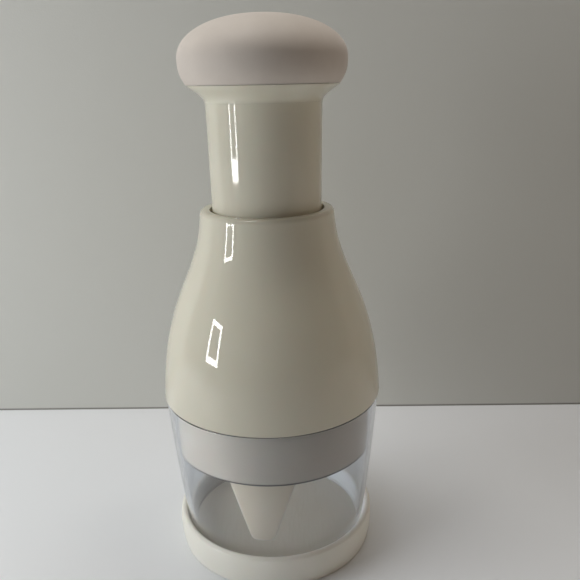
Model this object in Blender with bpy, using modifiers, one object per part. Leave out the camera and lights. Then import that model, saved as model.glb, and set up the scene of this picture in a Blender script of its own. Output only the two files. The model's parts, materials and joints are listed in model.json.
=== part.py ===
"""A manual food chopper, modelled as its separate pieces.

A knob on a sleeve is struck down against a return spring. A rod under the knob drives a
zigzag blade through a slotted wiper into a clear cup that stands in a dish. A twisted tube
round the rod runs through a fixed nut, so that blade and wiper turn a little at each stroke.
Heights are measured upwards from the table, and the origin is under the middle of the dish.
"""

import math

import bmesh
import bpy
from mathutils import Matrix, Vector

# Motion
STROKE = 0.0430
TURN_PER_STROKE = math.radians(36)

# Clearances
FACE_GAP = 0.0003
FIT_GAP = 0.00035
SLIDE_GAP = 0.0004
END_GAP = 0.0005
CUT_OVERRUN = 0.0010
MERGE_DISTANCE = 0.00001

# Fineness, in steps round a full turn and points along a curve
LARGE_STEPS = 32
INNER_STEPS = 24
SMALL_STEPS = 12
SCREW_STEPS = 8
BELL_POINTS = 10
CURVE_POINTS = 6
CORNER_POINTS = 4
SHARP_ANGLE = math.radians(35)

# Dish under the cup
DISH_HEIGHT = 0.0150
DISH_FLOOR_TOP = 0.0042
DISH_FLOOR_THICKNESS = 0.0024
DISH_RIM_WIDTH = 0.0049
DISH_FOOT_INSET = 0.0010
dish_widest_share = 0.633
DISH_LIP_DROP = 0.0013
DISH_EDGE_ROUND = 0.0006
DISH_RECESS_INSET = 0.0050

# Grip ring in the dish's underside
GRIP_INSET = 0.0053
GRIP_WIDTH = 0.0044
GRIP_THICKNESS = 0.0016
GRIP_PROUD = 0.0004
GRIP_CHAMFER = 0.0003

# Clear cup
CUP_RIM_SETBACK = 0.00065
CUP_TAPER = 0.0073
CUP_BOW = 0.0007
CUP_WALL = 0.0022
CUP_EDGE_CHAMFER = 0.0004

# Bell housing
BELL_SPREAD = 0.02565
BELL_NECK_WIDTH = 0.0045
BELL_WALL = 0.0025
BELL_EDGE_CHAMFER = 0.0005
BELL_RIM_ROUND = 0.0022
BELL_RIM_CHAMFER = 0.0004
BELL_NECK_FLARE = 0.0019
BELL_EDGE_FLARE = 0.0026
bell_lower_handle_share = 0.585
bell_upper_handle_share = 0.34
NECK_LIP_DEPTH = 0.0063
NECK_LIP_CATCH = 0.0006
SNAP_LIP_HEIGHT = 0.0009
SNAP_DEPTH = 0.0006

# Posts in the bell and the screws in them
POST_COUNT = 4
POST_RADIUS = 0.0034
POST_INSET = 0.0044
post_wall_share = 0.5
PLATE_SCREW_RADIUS = 0.0011
PLATE_SCREW_HEAD_RADIUS = 0.0024
PLATE_SCREW_HEAD_DEPTH = 0.0013
PLATE_SCREW_LENGTH = 0.0125

# Collar under the bell
COLLAR_DEPTH = 0.0242
COLLAR_WALL = 0.0022
COLLAR_LIP_WIDTH = 0.0018
COLLAR_LIP_THICKNESS = 0.0014
COLLAR_FLANGE_THICKNESS = 0.0019
COLLAR_EDGE_CHAMFER = 0.0003

# Wiper, its tongues and its retaining ring
WIPER_THICKNESS = 0.0020
WIPER_ANGLE = math.radians(-8.5)
SLOT_GAP = 0.0005
TONGUE_ANGLES = (0.0, math.radians(148.5), math.radians(-148.5))
TONGUE_THICKNESS = 0.0015
TONGUE_FLOOR_GAP = 0.0168
TONGUE_ROOT_WIDTH = 0.0327
TONGUE_TIP_WIDTH = 0.0094
TONGUE_TIP_ROUND = 0.0030
RETAINER_WIDTH = 0.0027
RETAINER_THICKNESS = 0.0022
RETAINER_GROOVE_DEPTH = 0.0005

# Blade and its carrier
BLADE_THICKNESS = 0.0008
BLADE_TONGUE_GAP = 0.0017
blade_back_share = 0.82
BLADE_PROUD = 0.0057
BLADE_CORNER_RADIUS = 0.0020
BLADE_FRONT_ANGLE = math.radians(34)
BLADE_END_ANGLE = math.radians(117)
BLADE_GRIND_HEIGHT = 0.0018
BLADE_EDGE_THICKNESS = 0.0002
BLADE_FLOOR_GAP = 0.0008
CARRIER_WEB = 0.0007
CARRIER_RIM = 0.0012
CARRIER_CHAMFER = 0.0006

# Rod, its nut, end screw and end washer
ROD_RADIUS = 0.0030
ROD_THREAD_STEP = 0.0006
ROD_BORE_DEPTH = 0.0100
ROD_RUN_GAP = 0.0004
ROD_NUT_WIDTH = 0.0022
ROD_NUT_HEIGHT = 0.0034
ROD_NUT_SIDES = 6
END_SCREW_RADIUS = 0.0014
END_SCREW_HEAD_RADIUS = 0.0040
END_SCREW_HEAD_HEIGHT = 0.0010
END_SCREW_LENGTH = 0.0080
END_WASHER_WIDTH = 0.0024
END_WASHER_THICKNESS = 0.0006

# Twisted index tube and its nut
LOBE_COUNT = 4
TUBE_WALL = 0.0035
LOBE_DEPTH = 0.0007
LOBE_POINTS = 24
LOBE_RINGS = 12
TUBE_FOOT_WIDTH = 0.0019
TUBE_FOOT_HEIGHT = 0.0010
NUT_WALL = 0.0038
NUT_HEIGHT = 0.0053
NUT_RINGS = 2
TOOTH_COUNT = 12
TOOTH_HEIGHT = 0.0008
tooth_width_share = 0.8

# Spring plate, guide tube and the spring's seats
PLATE_THICKNESS = 0.0026
PLATE_POCKET_FLOOR = 0.0012
PLATE_HUB_WALL = 0.0022
PLATE_WINDOW_RADIUS = 0.0036
PLATE_WINDOW_INSET = 0.0061
NUT_RETAINER_THICKNESS = 0.0009
NUT_RETAINER_SNAP = 0.0006
GUIDE_WALL = 0.0012
GUIDE_FOOT_WIDTH = 0.0032
GUIDE_FOOT_THICKNESS = 0.0014
SEAT_THICKNESS = 0.0008
LOWER_SEAT_RIM = 0.0010
UPPER_SEAT_COLLAR = 0.0028
UPPER_SEAT_COLLAR_WALL = 0.0009

# Return spring
SPRING_HUB_GAP = 0.00215
SPRING_WIRE_RADIUS = 0.0009
SPRING_TURNS = 9
SPRING_POINTS_PER_TURN = 10
SPRING_END_PITCH_GAP = 0.0006

# Plunger sleeve
SLEEVE_ROOM = 0.0033
SLEEVE_TAPER = 0.0008
SLEEVE_WALL = 0.0022
SLEEVE_FLANGE_THICKNESS = 0.0026
SLEEVE_WEB_DROP = 0.0087
SLEEVE_WEB_THICKNESS = 0.0025
SLEEVE_SPIGOT_STEP = 0.0014
SLEEVE_SPIGOT_HEIGHT = 0.0040
SLEEVE_POST_RADIUS = 0.0032
BUMPER_THICKNESS = 0.0012

# Knob
KNOB_FLARE_REACH = 0.0072
KNOB_FLARE_HEIGHT = 0.0066
KNOB_NECK_EXTRA = 0.0001
KNOB_PRESSED_GAP = 0.0010
knob_flare_upper_share = (0.18, 0.28)
knob_flare_lower_share = (0.82, 0.58)
KNOB_WEB_THICKNESS = 0.0022
KNOB_UPSTAND_WALL = 0.0018
KNOB_UPSTAND_HEIGHT = 0.0036
KNOB_CENTRE_HOLE_RADIUS = 0.0060
CAP_OVERHANG = 0.0030
CAP_WIDEST_RISE = 0.0100
CAP_HEIGHT = 0.0271
CAP_SKIN = 0.0020
CORE_WALL = 0.0020
cap_side_handle_share = 0.61
cap_top_handle_share = 0.57
cap_lower_handle_share = 0.55
cap_edge_handle_share = 0.235

# Screws in the knob
KNOB_SCREW_COUNT = 3
KNOB_SCREW_INSET = 0.0098
KNOB_SCREW_RADIUS = 0.0012
KNOB_SCREW_HEAD_RADIUS = 0.0028
KNOB_SCREW_HEAD_HEIGHT = 0.0017
KNOB_SCREW_LENGTH = 0.0090

# Heights that follow, from the table up through the blade's two ends of travel
cup_foot_z = DISH_FLOOR_TOP + FACE_GAP
tongue_tip_z = DISH_FLOOR_TOP + TONGUE_FLOOR_GAP
blade_edge_z = DISH_FLOOR_TOP + BLADE_FLOOR_GAP + STROKE
wiper_underside_z = blade_edge_z + BLADE_PROUD
wiper_top_z = wiper_underside_z + WIPER_THICKNESS
retainer_bottom_z = wiper_top_z + FACE_GAP
collar_lip_top_z = wiper_underside_z - FACE_GAP
collar_underside_z = collar_lip_top_z - COLLAR_LIP_THICKNESS
cup_rim_z = collar_underside_z + COLLAR_DEPTH
bell_edge_z = cup_rim_z + FACE_GAP
end_pocket_depth = END_WASHER_THICKNESS + END_SCREW_HEAD_HEIGHT + 2 * FACE_GAP
carrier_underside_z = wiper_top_z + END_GAP + STROKE
end_pocket_z = carrier_underside_z + end_pocket_depth
tube_seat_z = end_pocket_z + CARRIER_WEB
tube_foot_z = tube_seat_z + FACE_GAP
carrier_top_z = tube_foot_z + TUBE_FOOT_HEIGHT
blade_top_z = end_pocket_z - FACE_GAP

# Heights from the spring plate up to the knob
plate_underside_z = carrier_top_z + END_GAP
plate_top_z = plate_underside_z + PLATE_THICKNESS
sleeve_foot_z = plate_top_z + END_GAP + STROKE
flange_top_z = sleeve_foot_z + SLEEVE_FLANGE_THICKNESS
bumper_top_z = flange_top_z + FACE_GAP + BUMPER_THICKNESS
lip_underside_z = bumper_top_z + FACE_GAP
bell_top_z = lip_underside_z + NECK_LIP_DEPTH
knob_neck_z = bell_top_z + STROKE + KNOB_PRESSED_GAP
parting_z = knob_neck_z + KNOB_FLARE_HEIGHT
cap_top_z = parting_z + CAP_HEIGHT

# Heights inside the sleeve and the plate's hub
web_underside_z = knob_neck_z - SLEEVE_WEB_DROP
web_top_z = web_underside_z + SLEEVE_WEB_THICKNESS
spigot_top_z = knob_neck_z + SLEEVE_SPIGOT_HEIGHT
knob_web_underside_z = spigot_top_z + FACE_GAP
knob_web_top_z = knob_web_underside_z + KNOB_WEB_THICKNESS
pocket_floor_z = plate_underside_z + PLATE_POCKET_FLOOR
nut_underside_z = pocket_floor_z + FACE_GAP
nut_top_z = nut_underside_z + NUT_HEIGHT
retainer_underside_z = nut_top_z + FACE_GAP
hub_top_z = retainer_underside_z + NUT_RETAINER_THICKNESS + 2 * FACE_GAP
index_tube_top_z = nut_top_z + STROKE + CUT_OVERRUN
spring_bottom_z = plate_top_z + SEAT_THICKNESS + 2 * FACE_GAP
spring_top_z = web_underside_z - SEAT_THICKNESS - 2 * FACE_GAP

# Radii that follow, from the rod outwards, as each piece goes round the one before
rod_run_radius = ROD_RADIUS + ROD_RUN_GAP
rod_thread_radius = ROD_RADIUS - ROD_THREAD_STEP
rod_nut_radius = rod_thread_radius + ROD_NUT_WIDTH
end_washer_radius = rod_run_radius + END_WASHER_WIDTH
lobe_mean_radius = rod_run_radius + TUBE_WALL
lobe_radius = lobe_mean_radius + LOBE_DEPTH
tube_foot_radius = lobe_radius + TUBE_FOOT_WIDTH
nut_radius = lobe_radius + NUT_WALL
plate_hole_radius = lobe_radius + SLIDE_GAP
hub_bore_radius = nut_radius + FIT_GAP
hub_radius = hub_bore_radius + PLATE_HUB_WALL
spring_radius = hub_radius + SPRING_HUB_GAP + SPRING_WIRE_RADIUS
spring_bore_radius = spring_radius * math.cos(math.pi / SPRING_POINTS_PER_TURN) - SPRING_WIRE_RADIUS
sleeve_foot_radius = spring_radius + SPRING_WIRE_RADIUS + SLEEVE_ROOM + SLEEVE_WALL
sleeve_top_radius = sleeve_foot_radius + SLEEVE_TAPER
spigot_radius = sleeve_top_radius - SLEEVE_SPIGOT_STEP
knob_screw_circle_radius = spigot_radius - KNOB_SCREW_INSET
knob_neck_radius = sleeve_top_radius + KNOB_NECK_EXTRA
knob_parting_radius = knob_neck_radius + KNOB_FLARE_REACH
cap_widest_radius = knob_parting_radius + CAP_OVERHANG
opening_radius = sleeve_top_radius + SLIDE_GAP
flange_radius = opening_radius + NECK_LIP_CATCH
guide_bore_radius = flange_radius + FACE_GAP
guide_radius = guide_bore_radius + GUIDE_WALL
neck_pocket_radius = guide_radius + FACE_GAP
bell_neck_radius = opening_radius + BELL_NECK_WIDTH
bell_edge_radius = sleeve_top_radius + BELL_SPREAD

# Radii that follow from the bell's edge down to the dish
cup_rim_radius = bell_edge_radius - CUP_RIM_SETBACK
cup_foot_radius = cup_rim_radius - CUP_TAPER
dish_widest_radius = cup_foot_radius + DISH_RIM_WIDTH
dish_foot_radius = dish_widest_radius - DISH_FOOT_INSET
grip_radius = dish_foot_radius - GRIP_INSET
dish_recess_radius = grip_radius - DISH_RECESS_INSET
twist_per_metre = TURN_PER_STROKE / STROKE


def cup_radius(height):
    """The cup's outer radius: a straight taper with a slight outward bow."""
    share = (height - cup_foot_z) / (cup_rim_z - cup_foot_z)
    return cup_foot_radius + CUP_TAPER * share + CUP_BOW * 4 * share * (1 - share)


def sleeve_radius(height):
    """The sleeve's outer radius: a moulding taper, wider towards the knob."""
    share = (height - sleeve_foot_z) / (knob_neck_z - sleeve_foot_z)
    return sleeve_foot_radius + SLEEVE_TAPER * share


def bezier(start, start_handle, end_handle, end, count):
    """Points along a cubic curve in the plane, both ends included."""
    points = []
    for step in range(count + 1):
        share = step / count
        rest = 1 - share
        weights = (rest ** 3, 3 * rest ** 2 * share, 3 * rest * share ** 2, share ** 3)
        corners = (start, start_handle, end_handle, end)
        across = sum(weight * corner[0] for weight, corner in zip(weights, corners))
        up = sum(weight * corner[1] for weight, corner in zip(weights, corners))
        points.append((across, up))
    return points


def bell_side():
    """The bell's outer side, from the neck down to the lower edge."""
    top = bell_top_z - BELL_RIM_ROUND
    bottom = bell_edge_z + BELL_EDGE_CHAMFER
    height = top - bottom
    start_handle = (bell_neck_radius + BELL_NECK_FLARE, top - height * bell_upper_handle_share)
    end_handle = (bell_edge_radius - BELL_EDGE_FLARE, bottom + height * bell_lower_handle_share)
    return bezier((bell_neck_radius, top), start_handle, end_handle,
                  (bell_edge_radius, bottom), BELL_POINTS)


def radius_at(outline, height):
    """The radius at which an outline that runs downwards crosses a height."""
    for (upper_radius, upper), (lower_radius, lower) in zip(outline, outline[1:]):
        if lower <= height <= upper:
            share = (height - lower) / (upper - lower)
            return lower_radius + (upper_radius - lower_radius) * share
    return outline[-1][0]


def bell_bore(height):
    """The radius of the bell's inner wall at a height."""
    return max(radius_at(bell_side(), height) - BELL_WALL, neck_pocket_radius)


collar_radius = cup_radius(collar_underside_z) - CUP_WALL - FIT_GAP
collar_bore_radius = collar_radius - COLLAR_WALL
collar_lip_radius = collar_bore_radius - COLLAR_LIP_WIDTH
collar_flange_underside_z = bell_edge_z + SNAP_LIP_HEIGHT + FACE_GAP
collar_flange_top_z = collar_flange_underside_z + COLLAR_FLANGE_THICKNESS
collar_flange_radius = bell_bore(bell_edge_z) + SNAP_DEPTH - FACE_GAP
wiper_radius = collar_bore_radius - FIT_GAP
tongue_radius = collar_lip_radius - SLIDE_GAP
plate_radius = bell_bore(plate_top_z) - FACE_GAP
post_circle_radius = plate_radius - POST_INSET
blade_reach = tongue_radius - TONGUE_THICKNESS - BLADE_TONGUE_GAP
carrier_radius = blade_reach + BLADE_THICKNESS / 2 + CARRIER_RIM


def make_collection(name):
    """A new collection in the scene."""
    collection = bpy.data.collections.new(name)
    bpy.context.scene.collection.children.link(collection)
    return collection


def make_material(name, colour, roughness, metallic=0.0):
    """A plain finish of one colour."""
    material = bpy.data.materials.new(name)
    material.use_nodes = True
    shader = material.node_tree.nodes["Principled BSDF"]
    shader.inputs["Base Color"].default_value = (*colour, 1.0)
    shader.inputs["Roughness"].default_value = roughness
    shader.inputs["Metallic"].default_value = metallic
    return material


def add_body(name, mesh):
    """A new object that holds a mesh, among the cutters until it is finished."""
    body = bpy.data.objects.new(name, mesh)
    cutters.objects.link(body)
    body.hide_render = True
    body.display_type = 'WIRE'
    return body


def clean_mesh(mesh):
    """Weld a mesh's doubles and point its faces outwards."""
    work = bmesh.new()
    work.from_mesh(mesh)
    bmesh.ops.remove_doubles(work, verts=work.verts, dist=MERGE_DISTANCE)
    bmesh.ops.dissolve_degenerate(work, edges=work.edges, dist=MERGE_DISTANCE)
    bmesh.ops.recalc_face_normals(work, faces=work.faces)
    work.to_mesh(mesh)
    work.free()


def bake(body):
    """Replace a body's mesh with what its modifiers make of it."""
    bpy.context.view_layer.update()
    graph = bpy.context.evaluated_depsgraph_get()
    mesh = bpy.data.meshes.new_from_object(body.evaluated_get(graph))
    clean_mesh(mesh)
    old_mesh = body.data
    body.modifiers.clear()
    body.data = mesh
    bpy.data.meshes.remove(old_mesh)
    mesh.name = body.name
    return body


def turned(name, outline, steps, closed=True):
    """Turn an outline of (radius, height) points round the Z axis.

    The outline runs down the outer side. A closed one makes a ring, and an open one starts
    and ends on the axis.
    """
    last = len(outline) - 1
    edges = [(index, index + 1) for index in range(last)]
    if closed:
        edges.append((last, 0))
    mesh = bpy.data.meshes.new(name)
    mesh.from_pydata([(radius, 0, height) for radius, height in outline], edges, [])
    body = add_body(name, mesh)
    screw = body.modifiers.new("Turn", 'SCREW')
    screw.axis = 'Z'
    screw.angle = math.tau
    screw.steps = steps
    screw.render_steps = steps
    screw.use_merge_vertices = True
    screw.merge_threshold = MERGE_DISTANCE
    return bake(body)


def cylinder(name, radius, bottom, top, steps, centre=(0, 0)):
    """An upright cylinder between two heights."""
    mesh = bpy.data.meshes.new(name)
    work = bmesh.new()
    middle = Vector((centre[0], centre[1], (bottom + top) / 2))
    bmesh.ops.create_cone(work, cap_ends=True, segments=steps, radius1=radius, radius2=radius,
                          depth=top - bottom, matrix=Matrix.Translation(middle))
    work.to_mesh(mesh)
    work.free()
    return add_body(name, mesh)


def loft(name, rings):
    """Skin a closed body through rings that have the same number of points."""
    count = len(rings[0])
    points = [point for ring in rings for point in ring]
    faces = [tuple(range(count)), tuple(range(len(points) - count, len(points)))]
    for level in range(len(rings) - 1):
        lower = level * count
        upper = lower + count
        for index in range(count):
            after = (index + 1) % count
            faces.append((lower + index, lower + after, upper + after, upper + index))
    mesh = bpy.data.meshes.new(name)
    mesh.from_pydata(points, [], faces)
    work = bmesh.new()
    work.from_mesh(mesh)
    bmesh.ops.recalc_face_normals(work, faces=work.faces)
    bmesh.ops.triangulate(work, faces=work.faces)
    work.to_mesh(mesh)
    work.free()
    return add_body(name, mesh)


def combine(body, other, operation):
    """Join, cut or trim a body with another one, which stays among the cutters."""
    boolean = body.modifiers.new(operation.title(), 'BOOLEAN')
    boolean.operation = operation
    boolean.solver = 'EXACT'
    boolean.object = other
    return bake(body)


def gather(name, bodies):
    """One body that holds the separate solids of several."""
    mesh = bpy.data.meshes.new(name)
    work = bmesh.new()
    for body in bodies:
        work.from_mesh(body.data)
    work.to_mesh(mesh)
    work.free()
    return add_body(name, mesh)


def finish(body, material, parent):
    """Move a finished body from the cutters to the parts, painted, shaded and parented."""
    cutters.objects.unlink(body)
    parts.objects.link(body)
    body.hide_render = False
    body.display_type = 'TEXTURED'
    body.data.materials.clear()
    body.data.materials.append(material)
    body.data.shade_smooth()
    body.data.set_sharp_from_angle(angle=SHARP_ANGLE)
    body.parent = parent


def polar(radius, angle, height=None):
    """A point at an angle from the front, which is -Y; a positive angle goes to the right."""
    across = radius * math.sin(angle)
    deep = -radius * math.cos(angle)
    if height is None:
        return (across, deep)
    return (across, deep, height)


def round_corners(corners, radius):
    """An open path through corner points, with an arc of a radius at each inner corner."""
    path = [Vector(corners[0])]
    for before, corner, after in zip(corners, corners[1:], corners[2:]):
        corner = Vector(corner)
        back = (Vector(before) - corner).normalized()
        ahead = (Vector(after) - corner).normalized()
        half = back.angle(ahead) / 2
        centre = corner + (back + ahead).normalized() * (radius / math.sin(half))
        first = corner + back * (radius / math.tan(half)) - centre
        last = corner + ahead * (radius / math.tan(half)) - centre
        sweep = first.angle_signed(last)
        for step in range(CORNER_POINTS + 1):
            turn = Matrix.Rotation(-sweep * step / CORNER_POINTS, 2)
            path.append(centre + turn @ first)
    path.append(Vector(corners[-1]))
    return path


def blade_path():
    """The blade's centre line seen from above: a W of four legs."""
    corners = [
        polar(blade_reach, WIPER_ANGLE - BLADE_END_ANGLE),
        polar(blade_reach, WIPER_ANGLE - BLADE_FRONT_ANGLE),
        polar(blade_reach * blade_back_share, WIPER_ANGLE + math.pi),
        polar(blade_reach, WIPER_ANGLE + BLADE_FRONT_ANGLE),
        polar(blade_reach, WIPER_ANGLE + BLADE_END_ANGLE),
    ]
    return round_corners(corners, BLADE_CORNER_RADIUS)


def strip_ring(half_width, end_gap, height):
    """The outline of a strip along the blade's path, as one ring of points at a height."""
    path = blade_path()
    path[0] = path[0] + (path[0] - path[1]).normalized() * end_gap
    path[-1] = path[-1] + (path[-1] - path[-2]).normalized() * end_gap
    left = []
    right = []
    for index, point in enumerate(path):
        before = path[max(index - 1, 0)]
        after = path[min(index + 1, len(path) - 1)]
        along = (after - before).normalized()
        side = Vector((-along.y, along.x)) * half_width
        left.append((point.x + side.x, point.y + side.y, height))
        right.append((point.x - side.x, point.y - side.y, height))
    return left + right[::-1]


def lobed_ring(height, gap):
    """A lobed ring of points, turned about the axis in step with its height."""
    ring = []
    for index in range(LOBE_POINTS):
        angle = math.tau * index / LOBE_POINTS
        radius = lobe_mean_radius + gap + LOBE_DEPTH * math.cos(LOBE_COUNT * angle)
        turn = angle + twist_per_metre * (height - nut_underside_z)
        ring.append((radius * math.cos(turn), radius * math.sin(turn), height))
    return ring


def lobed_rod(name, bottom, top, count, gap):
    """A twisted rod with lobes, skinned through rings between two heights."""
    rings = [lobed_ring(bottom + (top - bottom) * step / count, gap) for step in range(count + 1)]
    return loft(name, rings)


def tooth_wedges(name, level, depth, inner, outer, gap):
    """A ring of saw teeth standing on a level, each steep on one side and rooted below it."""
    wedges = []
    pitch = math.tau / TOOTH_COUNT
    for index in range(TOOTH_COUNT):
        start = pitch * index
        rings = []
        for radius in (inner, outer):
            low = start - gap / radius
            high = start + pitch * tooth_width_share + gap / radius
            rings.append([polar(radius, low, level - depth), polar(radius, high, level - depth),
                          polar(radius, high, level + TOOTH_HEIGHT), polar(radius, low, level)])
        wedges.append(loft(name, rings))
    return gather(name, wedges)


def ring_places(count, radius, first_angle=0.0):
    """Centres evenly spaced on a circle."""
    return [polar(radius, first_angle + math.tau * index / count) for index in range(count)]


def make_base_dish():
    """The dish: a floor, a rim round the cup's foot and a grooved foot below."""
    underside = GRIP_PROUD
    recess = DISH_FLOOR_TOP - DISH_FLOOR_THICKNESS
    lip_z = DISH_HEIGHT - DISH_LIP_DROP
    inner = cup_radius(lip_z) + FIT_GAP
    widest_z = DISH_HEIGHT * dish_widest_share
    span = widest_z - underside - DISH_EDGE_ROUND

    def side_radius(height):
        return dish_widest_radius - DISH_FOOT_INSET * ((widest_z - height) / span) ** 2

    outer = side_radius(lip_z)
    middle = (inner + outer) / 2
    half = (outer - inner) / 2
    outline = [(0, DISH_FLOOR_TOP), (cup_radius(cup_foot_z) + FIT_GAP, DISH_FLOOR_TOP)]
    for step in range(CORNER_POINTS + 1):
        angle = math.pi * (1 - step / CORNER_POINTS)
        outline.append((middle + half * math.cos(angle), lip_z + DISH_LIP_DROP * math.sin(angle)))
    for step in range(1, CORNER_POINTS):
        height = lip_z + (underside + DISH_EDGE_ROUND - lip_z) * step / CORNER_POINTS
        outline.append((side_radius(height), height))
    outline.append((dish_foot_radius, underside + DISH_EDGE_ROUND))
    outline.append((dish_foot_radius - DISH_EDGE_ROUND, underside))
    groove_outer = grip_radius + GRIP_WIDTH / 2 + FACE_GAP
    groove_inner = grip_radius - GRIP_WIDTH / 2 - FACE_GAP
    groove_top = GRIP_THICKNESS + FACE_GAP
    outline += [(groove_outer, underside), (groove_outer, groove_top)]
    outline += [(groove_inner, groove_top), (groove_inner, underside)]
    outline += [(dish_recess_radius, underside), (dish_recess_radius, recess), (0, recess)]
    return turned("base_dish", outline, LARGE_STEPS, closed=False)


def make_base_grip_ring():
    """The soft ring pressed into the groove under the dish."""
    outer = grip_radius + GRIP_WIDTH / 2
    inner = grip_radius - GRIP_WIDTH / 2
    outline = [(outer, GRIP_THICKNESS), (outer, GRIP_CHAMFER), (outer - GRIP_CHAMFER, 0)]
    outline += [(inner + GRIP_CHAMFER, 0), (inner, GRIP_CHAMFER), (inner, GRIP_THICKNESS)]
    return turned("base_grip_ring", outline, LARGE_STEPS)


def make_cup():
    """The clear cup: a tapered tube with both ends open and its edges broken."""
    heights = [cup_rim_z - CUP_EDGE_CHAMFER]
    for step in range(1, CORNER_POINTS):
        heights.append(cup_rim_z - (cup_rim_z - cup_foot_z) * step / CORNER_POINTS)
    heights.append(cup_foot_z + CUP_EDGE_CHAMFER)
    outline = [(cup_radius(cup_rim_z) - CUP_EDGE_CHAMFER, cup_rim_z)]
    outline += [(cup_radius(height), height) for height in heights]
    outline.append((cup_foot_radius - CUP_EDGE_CHAMFER, cup_foot_z))
    outline.append((cup_foot_radius - CUP_WALL, cup_foot_z))
    outline += [(cup_radius(height) - CUP_WALL, height) for height in heights[::-1]]
    outline.append((cup_radius(cup_rim_z) - CUP_WALL + CUP_EDGE_CHAMFER, cup_rim_z))
    return turned("cup", outline, LARGE_STEPS)


def make_bell_housing():
    """The bell: a shell with a thick neck lip, a snap groove and four screw posts inside."""
    side = bell_side()
    outline = [(opening_radius + BELL_RIM_CHAMFER, bell_top_z)]
    centre = bell_neck_radius - BELL_RIM_ROUND
    for step in range(CORNER_POINTS):
        angle = math.pi / 2 * (1 - step / CORNER_POINTS)
        outline.append((centre + BELL_RIM_ROUND * math.cos(angle),
                        bell_top_z - BELL_RIM_ROUND * (1 - math.sin(angle))))
    outline += side
    outline.append((bell_edge_radius - BELL_EDGE_CHAMFER, bell_edge_z))
    edge_bore = bell_bore(bell_edge_z)
    groove_bottom = bell_edge_z + SNAP_LIP_HEIGHT
    groove_top = collar_flange_top_z + FACE_GAP
    outline += [(edge_bore, bell_edge_z), (edge_bore, groove_bottom)]
    outline += [(edge_bore + SNAP_DEPTH, groove_bottom), (edge_bore + SNAP_DEPTH, groove_top)]
    outline.append((bell_bore(groove_top), groove_top))
    for _, height in side[::-1]:
        if groove_top + BELL_WALL < height < lip_underside_z - BELL_WALL:
            outline.append((bell_bore(height), height))
    outline.append((bell_bore(lip_underside_z), lip_underside_z))
    outline.append((opening_radius, lip_underside_z))
    outline.append((opening_radius, bell_top_z - BELL_RIM_CHAMFER))
    bell = turned("bell_housing", outline, LARGE_STEPS)

    within = [(0, bell_top_z)]
    within += [(radius - BELL_WALL * post_wall_share, height) for radius, height in side]
    within.append((0, side[-1][1]))
    inside = turned("bell_inside", within, LARGE_STEPS, closed=False)
    post_foot = plate_top_z + FACE_GAP
    for centre in ring_places(POST_COUNT, post_circle_radius):
        post = cylinder("bell_post", POST_RADIUS, post_foot, lip_underside_z, SMALL_STEPS, centre)
        combine(post, inside, 'INTERSECT')
        combine(bell, post, 'UNION')
        bore_top = plate_underside_z + PLATE_SCREW_LENGTH + CUT_OVERRUN
        bore = cylinder("bell_post_bore", PLATE_SCREW_RADIUS + FACE_GAP,
                        post_foot - CUT_OVERRUN, bore_top, SCREW_STEPS, centre)
        combine(bell, bore, 'DIFFERENCE')
    return bell


def make_collar():
    """The collar: a ring round the wiper, a snap flange and a tube up to the plate."""
    tube = bell_bore(plate_underside_z) - FACE_GAP
    top = plate_underside_z - FACE_GAP
    groove_radius = collar_bore_radius + RETAINER_GROOVE_DEPTH
    groove_bottom = retainer_bottom_z - FACE_GAP
    groove_top = retainer_bottom_z + RETAINER_THICKNESS + FACE_GAP
    shoulder = collar_flange_underside_z
    outline = [(tube, top), (tube, collar_flange_top_z)]
    outline += [(collar_flange_radius, collar_flange_top_z), (collar_flange_radius, shoulder)]
    outline += [(collar_radius, shoulder)]
    outline.append((collar_radius, collar_underside_z + COLLAR_EDGE_CHAMFER))
    outline.append((collar_radius - COLLAR_EDGE_CHAMFER, collar_underside_z))
    outline += [(collar_lip_radius, collar_underside_z), (collar_lip_radius, collar_lip_top_z)]
    outline += [(collar_bore_radius, collar_lip_top_z), (collar_bore_radius, groove_bottom)]
    outline += [(groove_radius, groove_bottom), (groove_radius, groove_top)]
    outline += [(collar_bore_radius, groove_top), (collar_bore_radius, shoulder)]
    outline += [(tube - COLLAR_WALL, collar_flange_top_z), (tube - COLLAR_WALL, top)]
    return turned("collar", outline, LARGE_STEPS)


def make_tongue_prism(angle):
    """A tongue's flat outline, run outwards through the tongue band at an angle."""
    root_z = wiper_underside_z + WIPER_THICKNESS / 2
    half_root = TONGUE_ROOT_WIDTH / 2
    half_tip = TONGUE_TIP_WIDTH / 2
    corners = [(-half_root, root_z), (-half_tip, tongue_tip_z)]
    corners += [(half_tip, tongue_tip_z), (half_root, root_z)]
    outline = round_corners(corners, TONGUE_TIP_ROUND)
    near = tongue_radius * math.cos(math.asin(half_root / tongue_radius)) - 2 * TONGUE_THICKNESS
    far = tongue_radius + CUT_OVERRUN
    turn = Matrix.Rotation(angle, 3, 'Z')
    rings = []
    for depth in (near, far):
        rings.append([turn @ Vector((point.x, -depth, point.y)) for point in outline])
    return loft("tongue_prism", rings)


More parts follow.
